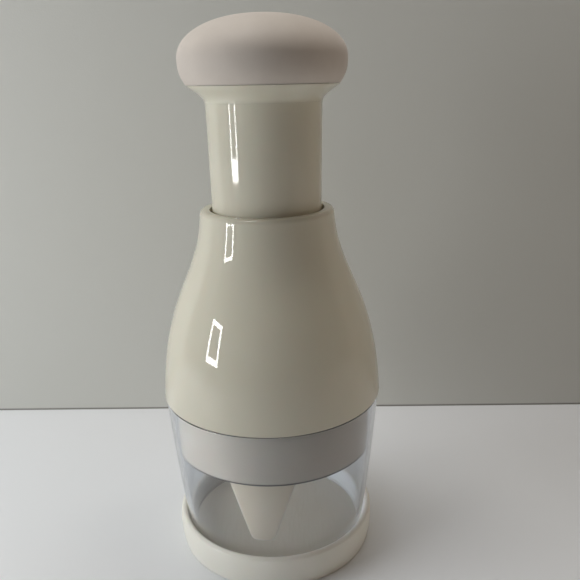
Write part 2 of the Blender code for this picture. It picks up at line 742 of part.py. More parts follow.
def make_wiper():
    """The wiper: a disc with a zigzag slot and three tongues that hang in the cup."""
    disc = [(0, wiper_top_z), (wiper_radius, wiper_top_z)]
    disc += [(wiper_radius, wiper_underside_z), (0, wiper_underside_z)]
    wiper = turned("wiper", disc, LARGE_STEPS, closed=False)
    root_z = wiper_underside_z + WIPER_THICKNESS / 2
    tip_z = tongue_tip_z - CUT_OVERRUN
    inner = tongue_radius - TONGUE_THICKNESS
    band = [(tongue_radius, root_z), (tongue_radius, tip_z), (inner, tip_z), (inner, root_z)]
    for offset in TONGUE_ANGLES:
        tongue = turned("tongue", band, 2 * LARGE_STEPS)
        combine(tongue, make_tongue_prism(WIPER_ANGLE + offset), 'INTERSECT')
        combine(wiper, tongue, 'UNION')
    half_width = BLADE_THICKNESS / 2 + SLOT_GAP
    slot = loft("wiper_slot", [
        strip_ring(half_width, SLOT_GAP, wiper_underside_z - CUT_OVERRUN),
        strip_ring(half_width, SLOT_GAP, wiper_top_z + CUT_OVERRUN),
    ])
    return combine(wiper, slot, 'DIFFERENCE')


def make_wiper_retainer():
    """The ring snapped into the collar above the wiper."""
    outer = collar_bore_radius + RETAINER_GROOVE_DEPTH - FACE_GAP
    inner = outer - RETAINER_WIDTH
    top = retainer_bottom_z + RETAINER_THICKNESS
    outline = [(outer, top), (outer, retainer_bottom_z), (inner, retainer_bottom_z), (inner, top)]
    return turned("wiper_retainer", outline, INNER_STEPS)


def make_zigzag_blade():
    """The blade: one strip bent to a W, ground thin along its lower edge."""
    half_width = BLADE_THICKNESS / 2
    return loft("zigzag_blade", [
        strip_ring(BLADE_EDGE_THICKNESS / 2, 0, blade_edge_z),
        strip_ring(half_width, 0, blade_edge_z + BLADE_GRIND_HEIGHT),
        strip_ring(half_width, 0, blade_top_z),
    ])


def make_blade_carrier():
    """The carrier: a disc with the blade's groove below and the index tube's seat on top."""
    seat_radius = tube_foot_radius + FACE_GAP
    pocket_radius = end_washer_radius + FACE_GAP
    outline = [(seat_radius, carrier_top_z), (carrier_radius - CARRIER_CHAMFER, carrier_top_z)]
    outline.append((carrier_radius, carrier_top_z - CARRIER_CHAMFER))
    outline += [(carrier_radius, carrier_underside_z), (pocket_radius, carrier_underside_z)]
    outline += [(pocket_radius, end_pocket_z), (rod_run_radius, end_pocket_z)]
    outline += [(rod_run_radius, tube_seat_z), (seat_radius, tube_seat_z)]
    carrier = turned("blade_carrier", outline, LARGE_STEPS)
    half_width = BLADE_THICKNESS / 2 + FACE_GAP
    groove = loft("blade_groove", [
        strip_ring(half_width, FACE_GAP, carrier_underside_z - CUT_OVERRUN),
        strip_ring(half_width, FACE_GAP, end_pocket_z),
    ])
    return combine(carrier, groove, 'DIFFERENCE')


def make_index_tube():
    """The twisted tube with four lobes, a round foot and a bore for the rod."""
    tube = lobed_rod("index_tube", tube_foot_z, index_tube_top_z, LOBE_RINGS, 0)
    foot = cylinder("index_tube_foot", tube_foot_radius, tube_foot_z, carrier_top_z, SMALL_STEPS)
    combine(tube, foot, 'UNION')
    bore = cylinder("index_tube_bore", rod_run_radius, tube_foot_z - CUT_OVERRUN,
                    index_tube_top_z + CUT_OVERRUN, SMALL_STEPS)
    return combine(tube, bore, 'DIFFERENCE')


def make_index_nut():
    """The nut: a round body with a twisted bore, and saw teeth cut into its underside."""
    nut = cylinder("index_nut", nut_radius, nut_underside_z, nut_top_z, LOBE_POINTS)
    bore = lobed_rod("index_nut_bore", nut_underside_z - CUT_OVERRUN, nut_top_z + CUT_OVERRUN,
                     NUT_RINGS, FIT_GAP)
    combine(nut, bore, 'DIFFERENCE')
    notches = tooth_wedges("nut_notches", nut_underside_z, CUT_OVERRUN,
                           lobe_mean_radius - 2 * LOBE_DEPTH, nut_radius + CUT_OVERRUN, FACE_GAP)
    return combine(nut, notches, 'DIFFERENCE')


def make_spring_plate():
    """The plate: a disc with a hub for the nut, saw teeth in the hub and four screw holes."""
    outline = [(hub_radius, hub_top_z), (hub_radius, plate_top_z), (plate_radius, plate_top_z)]
    outline += [(plate_radius, plate_underside_z), (plate_hole_radius, plate_underside_z)]
    outline += [(plate_hole_radius, pocket_floor_z), (hub_bore_radius, pocket_floor_z)]
    groove_radius = hub_bore_radius + NUT_RETAINER_SNAP
    groove_bottom = retainer_underside_z - FACE_GAP / 2
    outline += [(hub_bore_radius, groove_bottom), (groove_radius, groove_bottom)]
    outline.append((groove_radius, hub_top_z))
    plate = turned("spring_plate", outline, LARGE_STEPS)
    teeth = tooth_wedges("plate_teeth", pocket_floor_z, FACE_GAP, plate_hole_radius + FACE_GAP,
                         hub_bore_radius + FACE_GAP, 0)
    combine(plate, teeth, 'UNION')
    bottom = plate_underside_z - CUT_OVERRUN
    top = plate_top_z + CUT_OVERRUN
    window_circle = plate_radius - PLATE_WINDOW_INSET
    for centre in ring_places(POST_COUNT, window_circle, math.pi / POST_COUNT):
        window = cylinder("plate_window", PLATE_WINDOW_RADIUS, bottom, top, SMALL_STEPS, centre)
        combine(plate, window, 'DIFFERENCE')
    shank = PLATE_SCREW_RADIUS + FACE_GAP
    head = PLATE_SCREW_HEAD_RADIUS + FACE_GAP
    sink_z = plate_underside_z + PLATE_SCREW_HEAD_DEPTH
    sink = turned("plate_countersink", [(0, top), (shank, top), (shank, sink_z),
                                        (head, plate_underside_z), (head, bottom), (0, bottom)],
                  SCREW_STEPS, closed=False)
    for centre in ring_places(POST_COUNT, post_circle_radius):
        sink.location = (*centre, 0)
        combine(plate, sink, 'DIFFERENCE')
    return plate


def make_nut_retainer():
    """The snap ring in the hub's mouth, above the nut."""
    outer = hub_bore_radius + NUT_RETAINER_SNAP - FACE_GAP
    inner = plate_hole_radius
    top = retainer_underside_z + NUT_RETAINER_THICKNESS
    outline = [(outer, top), (outer, retainer_underside_z), (inner, retainer_underside_z)]
    outline.append((inner, top))
    return turned("nut_retainer", outline, INNER_STEPS)


def make_screws(name, outline, places):
    """Copies of a turned screw at several places, numbered from 1."""
    screws = []
    for number, centre in enumerate(places, start=1):
        screw = turned(f"{name}_{number}", outline, SCREW_STEPS, closed=False)
        screw.location = (*centre, 0)
        screws.append(screw)
    return screws


def make_plate_screws():
    """Four countersunk screws from the plate up into the bell's posts."""
    bottom = plate_underside_z
    sink_z = bottom + PLATE_SCREW_HEAD_DEPTH
    top = bottom + PLATE_SCREW_LENGTH
    outline = [(0, top), (PLATE_SCREW_RADIUS, top), (PLATE_SCREW_RADIUS, sink_z)]
    outline += [(PLATE_SCREW_HEAD_RADIUS, bottom), (0, bottom)]
    return make_screws("plate_screw", outline, ring_places(POST_COUNT, post_circle_radius))


def make_guide_tube():
    """The tube in which the sleeve's foot flange slides, with a foot on the plate."""
    top = lip_underside_z - FACE_GAP
    bottom = plate_top_z + FACE_GAP
    foot_top = bottom + GUIDE_FOOT_THICKNESS
    outline = [(guide_radius, top), (guide_radius, foot_top)]
    outline += [(guide_radius + GUIDE_FOOT_WIDTH, foot_top)]
    outline += [(guide_radius + GUIDE_FOOT_WIDTH, bottom), (guide_bore_radius, bottom)]
    outline.append((guide_bore_radius, top))
    return turned("guide_tube", outline, INNER_STEPS)


def make_lower_spring_washer():
    """The flat steel washer under the spring, centred by the plate's hub."""
    bottom = plate_top_z + FACE_GAP
    inner = hub_radius + FIT_GAP
    outer = spring_radius + SPRING_WIRE_RADIUS + LOWER_SEAT_RIM
    top = bottom + SEAT_THICKNESS
    outline = [(outer, top), (outer, bottom), (inner, bottom), (inner, top)]
    return turned("lower_spring_washer", outline, INNER_STEPS)


def make_upper_spring_cup():
    """The steel seat above the spring, with a collar inside its top turn."""
    top = web_underside_z - FACE_GAP
    bottom = top - SEAT_THICKNESS
    outer = sleeve_radius(bottom) - SLEEVE_WALL - FIT_GAP
    collar_outer = spring_bore_radius - FIT_GAP
    inner = collar_outer - UPPER_SEAT_COLLAR_WALL
    outline = [(outer, top), (outer, bottom), (collar_outer, bottom)]
    outline += [(collar_outer, bottom - UPPER_SEAT_COLLAR), (inner, bottom - UPPER_SEAT_COLLAR)]
    outline.append((inner, top))
    return turned("upper_spring_cup", outline, INNER_STEPS)


def spring_points():
    """Points along the spring's wire, with one close turn at each end."""
    bottom = spring_bottom_z + SPRING_WIRE_RADIUS
    top = spring_top_z - SPRING_WIRE_RADIUS
    end_pitch = 2 * SPRING_WIRE_RADIUS + SPRING_END_PITCH_GAP
    open_pitch = (top - bottom - 2 * end_pitch) / (SPRING_TURNS - 2)
    points = []
    for index in range(SPRING_TURNS * SPRING_POINTS_PER_TURN + 1):
        turns = index / SPRING_POINTS_PER_TURN
        lower = min(turns, 1) * end_pitch
        middle = min(max(turns - 1, 0), SPRING_TURNS - 2) * open_pitch
        upper = max(turns - SPRING_TURNS + 1, 0) * end_pitch
        angle = math.tau * turns
        points.append(Vector((spring_radius * math.cos(angle), spring_radius * math.sin(angle),
                              bottom + lower + middle + upper)))
    return points


def make_return_spring():
    """The return spring: one wire bent to a helix."""
    points = spring_points()
    curve = bpy.data.curves.new("return_spring", 'CURVE')
    curve.dimensions = '3D'
    curve.bevel_depth = SPRING_WIRE_RADIUS
    curve.bevel_resolution = 1
    curve.use_fill_caps = True
    spline = curve.splines.new('POLY')
    spline.points.add(len(points) - 1)
    for knot, point in zip(spline.points, points):
        knot.co = (*point, 1)
    wire = add_body("return_spring_wire", curve)
    bpy.context.view_layer.update()
    graph = bpy.context.evaluated_depsgraph_get()
    mesh = bpy.data.meshes.new_from_object(wire.evaluated_get(graph))
    bpy.data.objects.remove(wire)
    clean_mesh(mesh)
    far = SPRING_POINTS_PER_TURN // 2
    gaps = []
    for index, point in enumerate(points):
        for other in points[index + far:]:
            gaps.append((point - other).length - 2 * SPRING_WIRE_RADIUS)
    print(f"return_spring: least gap between turns {min(gaps) * 1000:.2f} mm")
    return add_body("return_spring", mesh)


def make_plunger_sleeve():
    """The sleeve: a tapered tube with a foot flange, a web inside and three posts on it."""
    top = knob_neck_z - FACE_GAP
    wall = SLEEVE_WALL
    bore_foot = sleeve_foot_radius - wall
    rod_hole = rod_thread_radius + FACE_GAP
    outline = [(spigot_radius, spigot_top_z), (spigot_radius, top), (sleeve_radius(top), top)]
    outline += [(sleeve_radius(flange_top_z), flange_top_z), (flange_radius, flange_top_z)]
    outline += [(flange_radius, sleeve_foot_z), (bore_foot, sleeve_foot_z)]
    outline += [(sleeve_radius(web_underside_z) - wall, web_underside_z)]
    outline += [(rod_hole, web_underside_z), (rod_hole, web_top_z)]
    outline += [(spigot_radius - wall, web_top_z), (spigot_radius - wall, spigot_top_z)]
    sleeve = turned("plunger_sleeve", outline, LARGE_STEPS)
    post_foot = web_top_z - SLEEVE_WEB_THICKNESS / 2
    bore_foot_z = knob_web_top_z - KNOB_SCREW_LENGTH - CUT_OVERRUN
    for centre in ring_places(KNOB_SCREW_COUNT, knob_screw_circle_radius):
        post = cylinder("sleeve_post", SLEEVE_POST_RADIUS, post_foot, spigot_top_z,
                        SMALL_STEPS, centre)
        combine(sleeve, post, 'UNION')
        bore = cylinder("sleeve_post_bore", KNOB_SCREW_RADIUS + FACE_GAP, bore_foot_z,
                        spigot_top_z + CUT_OVERRUN, SCREW_STEPS, centre)
        combine(sleeve, bore, 'DIFFERENCE')
    return sleeve


def make_stroke_bumper():
    """The soft ring on the sleeve's foot flange that meets the neck lip."""
    bottom = flange_top_z + FACE_GAP
    inner = sleeve_radius(bumper_top_z) + FIT_GAP
    outline = [(flange_radius, bumper_top_z), (flange_radius, bottom), (inner, bottom)]
    outline.append((inner, bumper_top_z))
    return turned("stroke_bumper", outline, INNER_STEPS)


def knob_outline(inset, count):
    """The knob's domed side, from the top to the parting line, drawn in by an inset."""
    widest = cap_widest_radius - inset
    parting = knob_parting_radius - inset
    widest_z = parting_z + CAP_WIDEST_RISE
    top = cap_top_z - inset
    side_handle = (widest, widest_z + (top - widest_z) * cap_side_handle_share)
    upper = bezier((0, top), (widest * cap_top_handle_share, top), side_handle,
                   (widest, widest_z), count)
    bottom_z = parting_z + FACE_GAP
    turn_in = (widest, widest_z - CAP_WIDEST_RISE * cap_lower_handle_share)
    edge_handle = (parting + (widest - parting) * cap_lower_handle_share,
                   bottom_z + CAP_WIDEST_RISE * cap_edge_handle_share)
    lower = bezier((widest, widest_z), turn_in, edge_handle, (parting, bottom_z), count // 2)
    return upper + lower[1:]


def make_dome(name, inset, wall, count):
    """A domed shell whose outer side lies at an inset from the knob's outer side."""
    outline = knob_outline(inset, count) + knob_outline(inset + wall, count)[::-1]
    return turned(name, outline, LARGE_STEPS, closed=False)


def make_knob_base():
    """The knob's flared underside, with a socket for the sleeve and an upstand for the core."""
    upstand = knob_parting_radius - CAP_SKIN - CORE_WALL - 2 * FACE_GAP
    upstand_top = parting_z + KNOB_UPSTAND_HEIGHT
    handles = []
    for across, down in (knob_flare_upper_share, knob_flare_lower_share):
        handles.append((knob_parting_radius - KNOB_FLARE_REACH * across,
                        parting_z - KNOB_FLARE_HEIGHT * down))
    flare = bezier((knob_parting_radius, parting_z), handles[0], handles[1],
                   (knob_neck_radius, knob_neck_z), CURVE_POINTS)
    socket = spigot_radius + FACE_GAP
    outline = [(upstand, upstand_top), (upstand, parting_z)] + flare
    outline += [(socket, knob_neck_z), (socket, knob_web_underside_z)]
    outline += [(KNOB_CENTRE_HOLE_RADIUS, knob_web_underside_z)]
    outline += [(KNOB_CENTRE_HOLE_RADIUS, knob_web_top_z)]
    outline += [(upstand - KNOB_UPSTAND_WALL, knob_web_top_z)]
    outline += [(upstand - KNOB_UPSTAND_WALL, upstand_top)]
    knob = turned("knob_base", outline, LARGE_STEPS)
    for centre in ring_places(KNOB_SCREW_COUNT, knob_screw_circle_radius):
        hole = cylinder("knob_screw_hole", KNOB_SCREW_RADIUS + FACE_GAP,
                        knob_web_underside_z - CUT_OVERRUN, knob_web_top_z + CUT_OVERRUN,
                        SCREW_STEPS, centre)
        combine(knob, hole, 'DIFFERENCE')
    return knob


def make_knob_screws():
    """Three screws from the knob base down into the sleeve's posts."""
    seat = knob_web_top_z + FACE_GAP
    top = seat + KNOB_SCREW_HEAD_HEIGHT
    tip = knob_web_top_z - KNOB_SCREW_LENGTH
    outline = [(0, top), (KNOB_SCREW_HEAD_RADIUS, top), (KNOB_SCREW_HEAD_RADIUS, seat)]
    outline += [(KNOB_SCREW_RADIUS, seat), (KNOB_SCREW_RADIUS, tip), (0, tip)]
    places = ring_places(KNOB_SCREW_COUNT, knob_screw_circle_radius)
    return make_screws("knob_screw", outline, places)


def make_plunger_rod():
    """The rod, stepped down to its thread at the top and bored for a screw below."""
    shoulder = web_underside_z - FACE_GAP
    top = web_top_z + FACE_GAP + ROD_NUT_HEIGHT + CUT_OVERRUN
    bore_radius = END_SCREW_RADIUS + FACE_GAP
    bore_top = end_pocket_z + ROD_BORE_DEPTH
    outline = [(0, top), (rod_thread_radius, top), (rod_thread_radius, shoulder)]
    outline += [(ROD_RADIUS, shoulder), (ROD_RADIUS, end_pocket_z), (bore_radius, end_pocket_z)]
    outline += [(bore_radius, bore_top), (0, bore_top)]
    return turned("plunger_rod", outline, SMALL_STEPS, closed=False)


def make_rod_nut():
    """The hex nut that clamps the rod to the sleeve's web."""
    bottom = web_top_z + FACE_GAP
    top = bottom + ROD_NUT_HEIGHT
    nut = cylinder("rod_nut", rod_nut_radius, bottom, top, ROD_NUT_SIDES)
    bore = cylinder("rod_nut_bore", rod_thread_radius + FACE_GAP, bottom - CUT_OVERRUN,
                    top + CUT_OVERRUN, SMALL_STEPS)
    return combine(nut, bore, 'DIFFERENCE')


def make_rod_end_washer():
    """The washer under the carrier, in the carrier's pocket."""
    top = end_pocket_z - FACE_GAP
    bottom = top - END_WASHER_THICKNESS
    inner = END_SCREW_RADIUS + FACE_GAP
    outline = [(end_washer_radius, top), (end_washer_radius, bottom), (inner, bottom)]
    outline.append((inner, top))
    return turned("rod_end_washer", outline, SMALL_STEPS)


def make_rod_end_screw():
    """The screw in the rod's lower end, its head inside the carrier's pocket."""
    seat = end_pocket_z - END_WASHER_THICKNESS - 2 * FACE_GAP
    bottom = seat - END_SCREW_HEAD_HEIGHT
    top = seat + END_SCREW_LENGTH
    outline = [(0, top), (END_SCREW_RADIUS, top), (END_SCREW_RADIUS, seat)]
    outline += [(END_SCREW_HEAD_RADIUS, seat), (END_SCREW_HEAD_RADIUS, bottom), (0, bottom)]
    return turned("rod_end_screw", outline, SMALL_STEPS, closed=False)


def make_axis(name, parent=None):
    """An empty on the chopper's axis that carries the pieces of one moving group."""
    axis = bpy.data.objects.new(name, None)
    parts.objects.link(axis)
    axis.parent = parent
    return axis


for item in list(bpy.data.objects):
    bpy.data.objects.remove(item, do_unlink=True)

parts = make_collection("manual food chopper")
cutters = make_collection("cutters")

white_satin = make_material("white satin plastic", (0.78, 0.77, 0.72), 0.35)
white_gloss = make_material("white gloss plastic", (0.80, 0.78, 0.72), 0.15)
soft_touch = make_material("soft-touch rubber", (0.74, 0.70, 0.69), 0.60)
clear_plastic = make_material("clear plastic", (0.86, 0.87, 0.92), 0.05)
grey_satin = make_material("light grey satin plastic", (0.66, 0.66, 0.65), 0.40)
guide_plastic = make_material("natural acetal", (0.72, 0.71, 0.66), 0.40)
dark_rubber = make_material("dark rubber", (0.10, 0.10, 0.10), 0.70)
pale_rubber = make_material("pale grip rubber", (0.60, 0.60, 0.58), 0.65)
polished_steel = make_material("polished steel", (0.72, 0.73, 0.74), 0.18, 1.0)
zinc_steel = make_material("zinc-plated steel", (0.60, 0.61, 0.62), 0.35, 1.0)
spring_steel = make_material("spring steel", (0.42, 0.43, 0.45), 0.30, 1.0)

base_axis = make_axis("base_axis")
cup_axis = make_axis("cup_axis", base_axis)
housing_axis = make_axis("housing_axis", cup_axis)
plunger_axis = make_axis("plunger_axis", housing_axis)
blade_axis = make_axis("blade_axis", plunger_axis)
wiper_axis = make_axis("wiper_axis", housing_axis)

finish(make_base_dish(), white_satin, base_axis)
finish(make_base_grip_ring(), pale_rubber, base_axis)

finish(make_cup(), clear_plastic, cup_axis)

finish(make_bell_housing(), white_gloss, housing_axis)
finish(make_collar(), grey_satin, housing_axis)
finish(make_wiper_retainer(), grey_satin, housing_axis)
finish(make_spring_plate(), guide_plastic, housing_axis)
for plate_screw in make_plate_screws():
    finish(plate_screw, zinc_steel, housing_axis)
finish(make_guide_tube(), guide_plastic, housing_axis)
finish(make_index_nut(), guide_plastic, housing_axis)
finish(make_nut_retainer(), zinc_steel, housing_axis)
finish(make_lower_spring_washer(), zinc_steel, housing_axis)
finish(make_return_spring(), spring_steel, housing_axis)

finish(make_plunger_sleeve(), white_gloss, plunger_axis)
finish(make_stroke_bumper(), dark_rubber, plunger_axis)
finish(make_knob_base(), white_gloss, plunger_axis)
finish(make_dome("knob_core", CAP_SKIN + FACE_GAP, CORE_WALL, CORNER_POINTS), white_satin, plunger_axis)
finish(make_dome("knob_cap", 0, CAP_SKIN, CURVE_POINTS), soft_touch, plunger_axis)
for knob_screw in make_knob_screws():
    finish(knob_screw, zinc_steel, plunger_axis)
finish(make_upper_spring_cup(), zinc_steel, plunger_axis)
finish(make_plunger_rod(), polished_steel, plunger_axis)
finish(make_rod_nut(), zinc_steel, plunger_axis)
finish(make_rod_end_washer(), zinc_steel, plunger_axis)
finish(make_rod_end_screw(), zinc_steel, plunger_axis)

finish(make_blade_carrier(), grey_satin, blade_axis)
finish(make_index_tube(), guide_plastic, blade_axis)
finish(make_zigzag_blade(), polished_steel, blade_axis)

finish(make_wiper(), grey_satin, wiper_axis)
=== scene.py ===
# %% [markdown]
# # A manual food chopper, dressed for its picture
#
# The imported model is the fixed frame: six bodies that slide and turn on their joints. Each
# cell below makes one piece or one finish and rides it on its body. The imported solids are
# many-sided, so the visible pieces are turned again with fine steps. The drawings are in
# millimetres and Blender works in metres, so one factor turns the tables.

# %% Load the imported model
import json
import math

import bpy
import numpy as np
from mathutils import Matrix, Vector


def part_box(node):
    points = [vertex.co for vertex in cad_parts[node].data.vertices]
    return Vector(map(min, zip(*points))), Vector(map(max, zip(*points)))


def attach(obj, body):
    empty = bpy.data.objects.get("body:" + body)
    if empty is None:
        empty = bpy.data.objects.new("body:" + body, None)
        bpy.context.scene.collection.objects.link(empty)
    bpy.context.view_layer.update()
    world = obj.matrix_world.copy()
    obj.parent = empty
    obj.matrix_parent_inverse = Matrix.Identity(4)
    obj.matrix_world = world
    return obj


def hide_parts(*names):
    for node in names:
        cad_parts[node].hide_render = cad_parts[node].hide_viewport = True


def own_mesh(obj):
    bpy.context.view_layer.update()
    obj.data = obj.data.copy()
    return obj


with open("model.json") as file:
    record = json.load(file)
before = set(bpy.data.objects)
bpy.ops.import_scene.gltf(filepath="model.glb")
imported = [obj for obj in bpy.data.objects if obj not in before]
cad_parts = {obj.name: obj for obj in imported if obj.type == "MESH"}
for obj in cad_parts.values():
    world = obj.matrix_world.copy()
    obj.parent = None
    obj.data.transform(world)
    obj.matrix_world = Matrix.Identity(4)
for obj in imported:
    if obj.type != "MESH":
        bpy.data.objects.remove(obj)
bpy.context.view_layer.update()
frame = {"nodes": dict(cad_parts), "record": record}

MM = 0.001
TINY = 1e-7

# %% [markdown]
# ## Colours
#
# Colours are written as they look on a screen, as hex values, and one function turns them to
# the linear light that the shaders count in.

# %% Hex colours
def linear(code):
    """Turn an sRGB hex colour to linear light: each channel over 0.04045 is
    ((value + 0.055) / 1.055) to the power 2.4, and a darker one is value / 12.92."""
    value = np.array([int(code[place:place + 2], 16) for place in (1, 3, 5)]) / 255
    light = np.where(value > 0.04045, ((value + 0.055) / 1.055) ** 2.4, value / 12.92)
    return (*light.tolist(), 1.0)


# %% [markdown]
# ## Nodes
#
# Every finish is a small tree of nodes. One helper adds a node, sets its options, and fills
# its inputs either with a value or with a link from another node's output. A second one
# starts a material with its Principled shader and the coordinates that its patterns read.
# Two patterns turn up on nearly every moulded or plated skin, so each has its own helper:
# soft clouds of tone, and a relief of small hollows. Both take their size in millimetres.

# %% One helper for nodes, one to start a finish
def add(tree, kind, inputs=None, **options):
    """Add a node of a kind, set its options, and fill or link its inputs."""
    made = tree.nodes.new(kind)
    for option, value in options.items():
        setattr(made, option, value)
    for key, value in (inputs or {}).items():
        if isinstance(value, bpy.types.NodeSocket):
            tree.links.new(value, made.inputs[key])
        else:
            made.inputs[key].default_value = value
    return made


def start_finish(name, **shader_inputs):
    """A new material: its tree, its Principled shader and the object's own coordinates."""
    material = bpy.data.materials.new(name)
    material.use_nodes = True
    tree = material.node_tree
    tree.nodes.clear()
    shader = add(tree, "ShaderNodeBsdfPrincipled", shader_inputs)
    output = add(tree, "ShaderNodeOutputMaterial", {"Surface": shader.outputs["BSDF"]})
    place = add(tree, "ShaderNodeTexCoord").outputs["Object"]
    print("finish:", name)
    return material, tree, shader, output, place


def connect(tree, node, **links):
    """Link outputs of other nodes into a node's inputs; a space in a name is written as _."""
    for key, socket in links.items():
        tree.links.new(socket, node.inputs[key.replace("_", " ")])


# %% Clouds of tone, and a relief of small hollows
def clouds(tree, place, size, detail, dark, pale):
    """Clouds of a size in mm: their noise, and the colour that it blends from dark to pale."""
    noise = add(tree, "ShaderNodeTexNoise", {"Vector": place, "Scale": 1 / (size * MM), "Detail": detail})
    blend = add(tree, "ShaderNodeMix", {0: noise.outputs["Fac"], 6: linear(dark), 7: linear(pale)},
                data_type='RGBA')
    return noise.outputs["Fac"], blend.outputs[2]


def relief(tree, place, size, detail, strength, depth):
    """Hollows of a size and a depth in mm, as the normal that a shader takes."""
    noise = add(tree, "ShaderNodeTexNoise", {"Vector": place, "Scale": 1 / (size * MM), "Detail": detail})
    bump = add(tree, "ShaderNodeBump", {"Height": noise.outputs["Fac"], "Strength": strength,
                                        "Distance": depth * MM})
    return bump.outputs["Normal"]


# %% [markdown]
# ## Turned profiles
#
# Nearly every piece of the chopper is round, so each one is a profile of radius and height
# that is carried round the axis. A moulded or turned edge is never sharp: every corner gets
# its own small rounding, and two extra points beside each arc keep the flat faces flat when
# Blender shades them smoothly. Each point also learns how close it lies to an outer corner,
# where hands and cloths wear it and some finishes paint a paler highlight, and to a joint
# line, which the finishes darken for dirt and for painted shade.

# %% Profiles with rounded corners
# An arc and the points beside it take at most these shares of the shorter side at their corner.
ARC_SHARE, HOLD_SHARE = 0.45, 0.49
ARC_POINTS, HOLD = 7, 0.18
STRAIGHT, SMALL_TURN, SAME_PLACE = 0.999999, 1e-3, 1e-4


def unit(vectors):
    """Vectors divided by their own length; a vector of no length stays zero."""
    return vectors / np.maximum(np.linalg.norm(vectors, axis=-1, keepdims=True), TINY)


def rounded(table, closed=True):
    """Round the corners of a profile, given as rows of radius, height and rounding.

    With u and v the unit directions from a corner to its neighbours and h half the angle
    between them, the arc leaves u and v at rounding / tan h from the corner, and its centre
    lies rounding / sin h along their bisector. Between the two ends the spoke turns evenly:
    spoke(s) = (sin((1 - s) w) first + sin(s w) last) / sin w, where w is the turn.
    Returns the points and, for each, 1 on an outer arc, -1 on an inner one and 0 elsewhere.
    """
    table = np.asarray(table, float)
    here, rounding = table[:, :2], table[:, 2].copy()
    back, ahead = np.roll(here, 1, axis=0) - here, np.roll(here, -1, axis=0) - here
    if not closed:
        rounding[[0, -1]] = 0
    reach = np.minimum(np.linalg.norm(back, axis=1), np.linalg.norm(ahead, axis=1))
    u, v = unit(back), unit(ahead)
    half = np.arccos(np.clip((u * v).sum(1), -STRAIGHT, STRAIGHT)) / 2
    leave = np.minimum(rounding / np.tan(half), ARC_SHARE * reach)
    centre = here + unit(u + v) * (leave / np.cos(half))[:, None]
    first, last = here + u * leave[:, None] - centre, here + v * leave[:, None] - centre
    turn = np.maximum(math.pi - 2 * half, SMALL_TURN)
    share = np.linspace(0, 1, ARC_POINTS)
    from_first = np.sin((1 - share)[None] * turn[:, None]) / np.sin(turn)[:, None]
    from_last = np.sin(share[None] * turn[:, None]) / np.sin(turn)[:, None]
    arc = centre[:, None] + from_first[..., None] * first[:, None] + from_last[..., None] * last[:, None]
    hold = np.minimum(leave + HOLD, HOLD_SHARE * reach)
    before, after = here + u * hold[:, None], here + v * hold[:, None]
    round_one = leave > SAME_PLACE
    arc = np.where(round_one[:, None, None], arc, here[:, None])
    before = np.where(round_one[:, None], before, here)
    after = np.where(round_one[:, None], after, here)
    points = np.concatenate([before[:, None], arc, after[:, None]], axis=1)
    outer = np.sign(u[:, 0] * v[:, 1] - u[:, 1] * v[:, 0]) * round_one
    kind = np.repeat(outer, points.shape[1])
    points = points.reshape(-1, 2)
    fresh = np.linalg.norm(points - np.roll(points, 1, axis=0), axis=1) > SAME_PLACE
    fresh[0] = fresh[0] or not closed
    return points[fresh], kind[fresh]


# %% Curves, finer steps and nearness
EDGE_MARK_REACH, SEAM_MARK_REACH, ROW_STEP = 0.9, 0.4, 0.6


def curve(start, start_handle, end_handle, end, count):
    """Points on a cubic curve: the corners weighted by (1-t)^3, 3(1-t)^2 t, 3(1-t) t^2, t^3."""
    t = np.linspace(0, 1, count + 1)[:, None]
    corners = np.array([start, start_handle, end_handle, end], float)
    return ((1 - t) ** 3 * corners[0] + 3 * (1 - t) ** 2 * t * corners[1]
            + 3 * (1 - t) * t ** 2 * corners[2] + t ** 3 * corners[3])


def dense(points, step, closed=True):
    """Add points along each side of an outline, so that none is longer than a step."""
    after = np.roll(points, -1, axis=0)
    length = np.linalg.norm(after - points, axis=1)
    if not closed:
        length[-1] = 0
    parts = np.maximum(np.ceil(length / step), 1).astype(int)
    place = np.arange(parts.sum()) - np.repeat(np.cumsum(parts) - parts, parts)
    share = (place / np.repeat(parts, parts))[:, None]
    return np.repeat(points, parts, axis=0) * (1 - share) + np.repeat(after, parts, axis=0) * share


def nearness(points, places, reach):
    """How near each point lies to the closest of some places: exp(-(distance / reach)^2)."""
    if not len(places):
        return np.zeros(len(points))
    gap = np.linalg.norm(points[:, None] - np.asarray(places, float)[None], axis=-1).min(axis=1)
    return np.exp(-(gap / reach) ** 2)


def plain(points):
    """Rows of radius, height and no rounding, for a stretch of a profile that is smooth already."""
    points = np.asarray(points, float)
    return np.column_stack([points, np.zeros(len(points))])


# %% [markdown]
# ## Skinning a grid of points
#
# One function turns any grid of points into a mesh: rows run along the profile and columns
# run round it. A row that has shrunk to one point becomes a pole, so that no face is a sliver
# and the skin is closed. It also stores the edge marks, for wear and painted highlight, and the
# seam marks, for dirt and painted shade, and a UV map in millimetres, so that a pattern keeps
# its real size on the piece.

# %% Mesh from a grid
SHARP = math.radians(32)


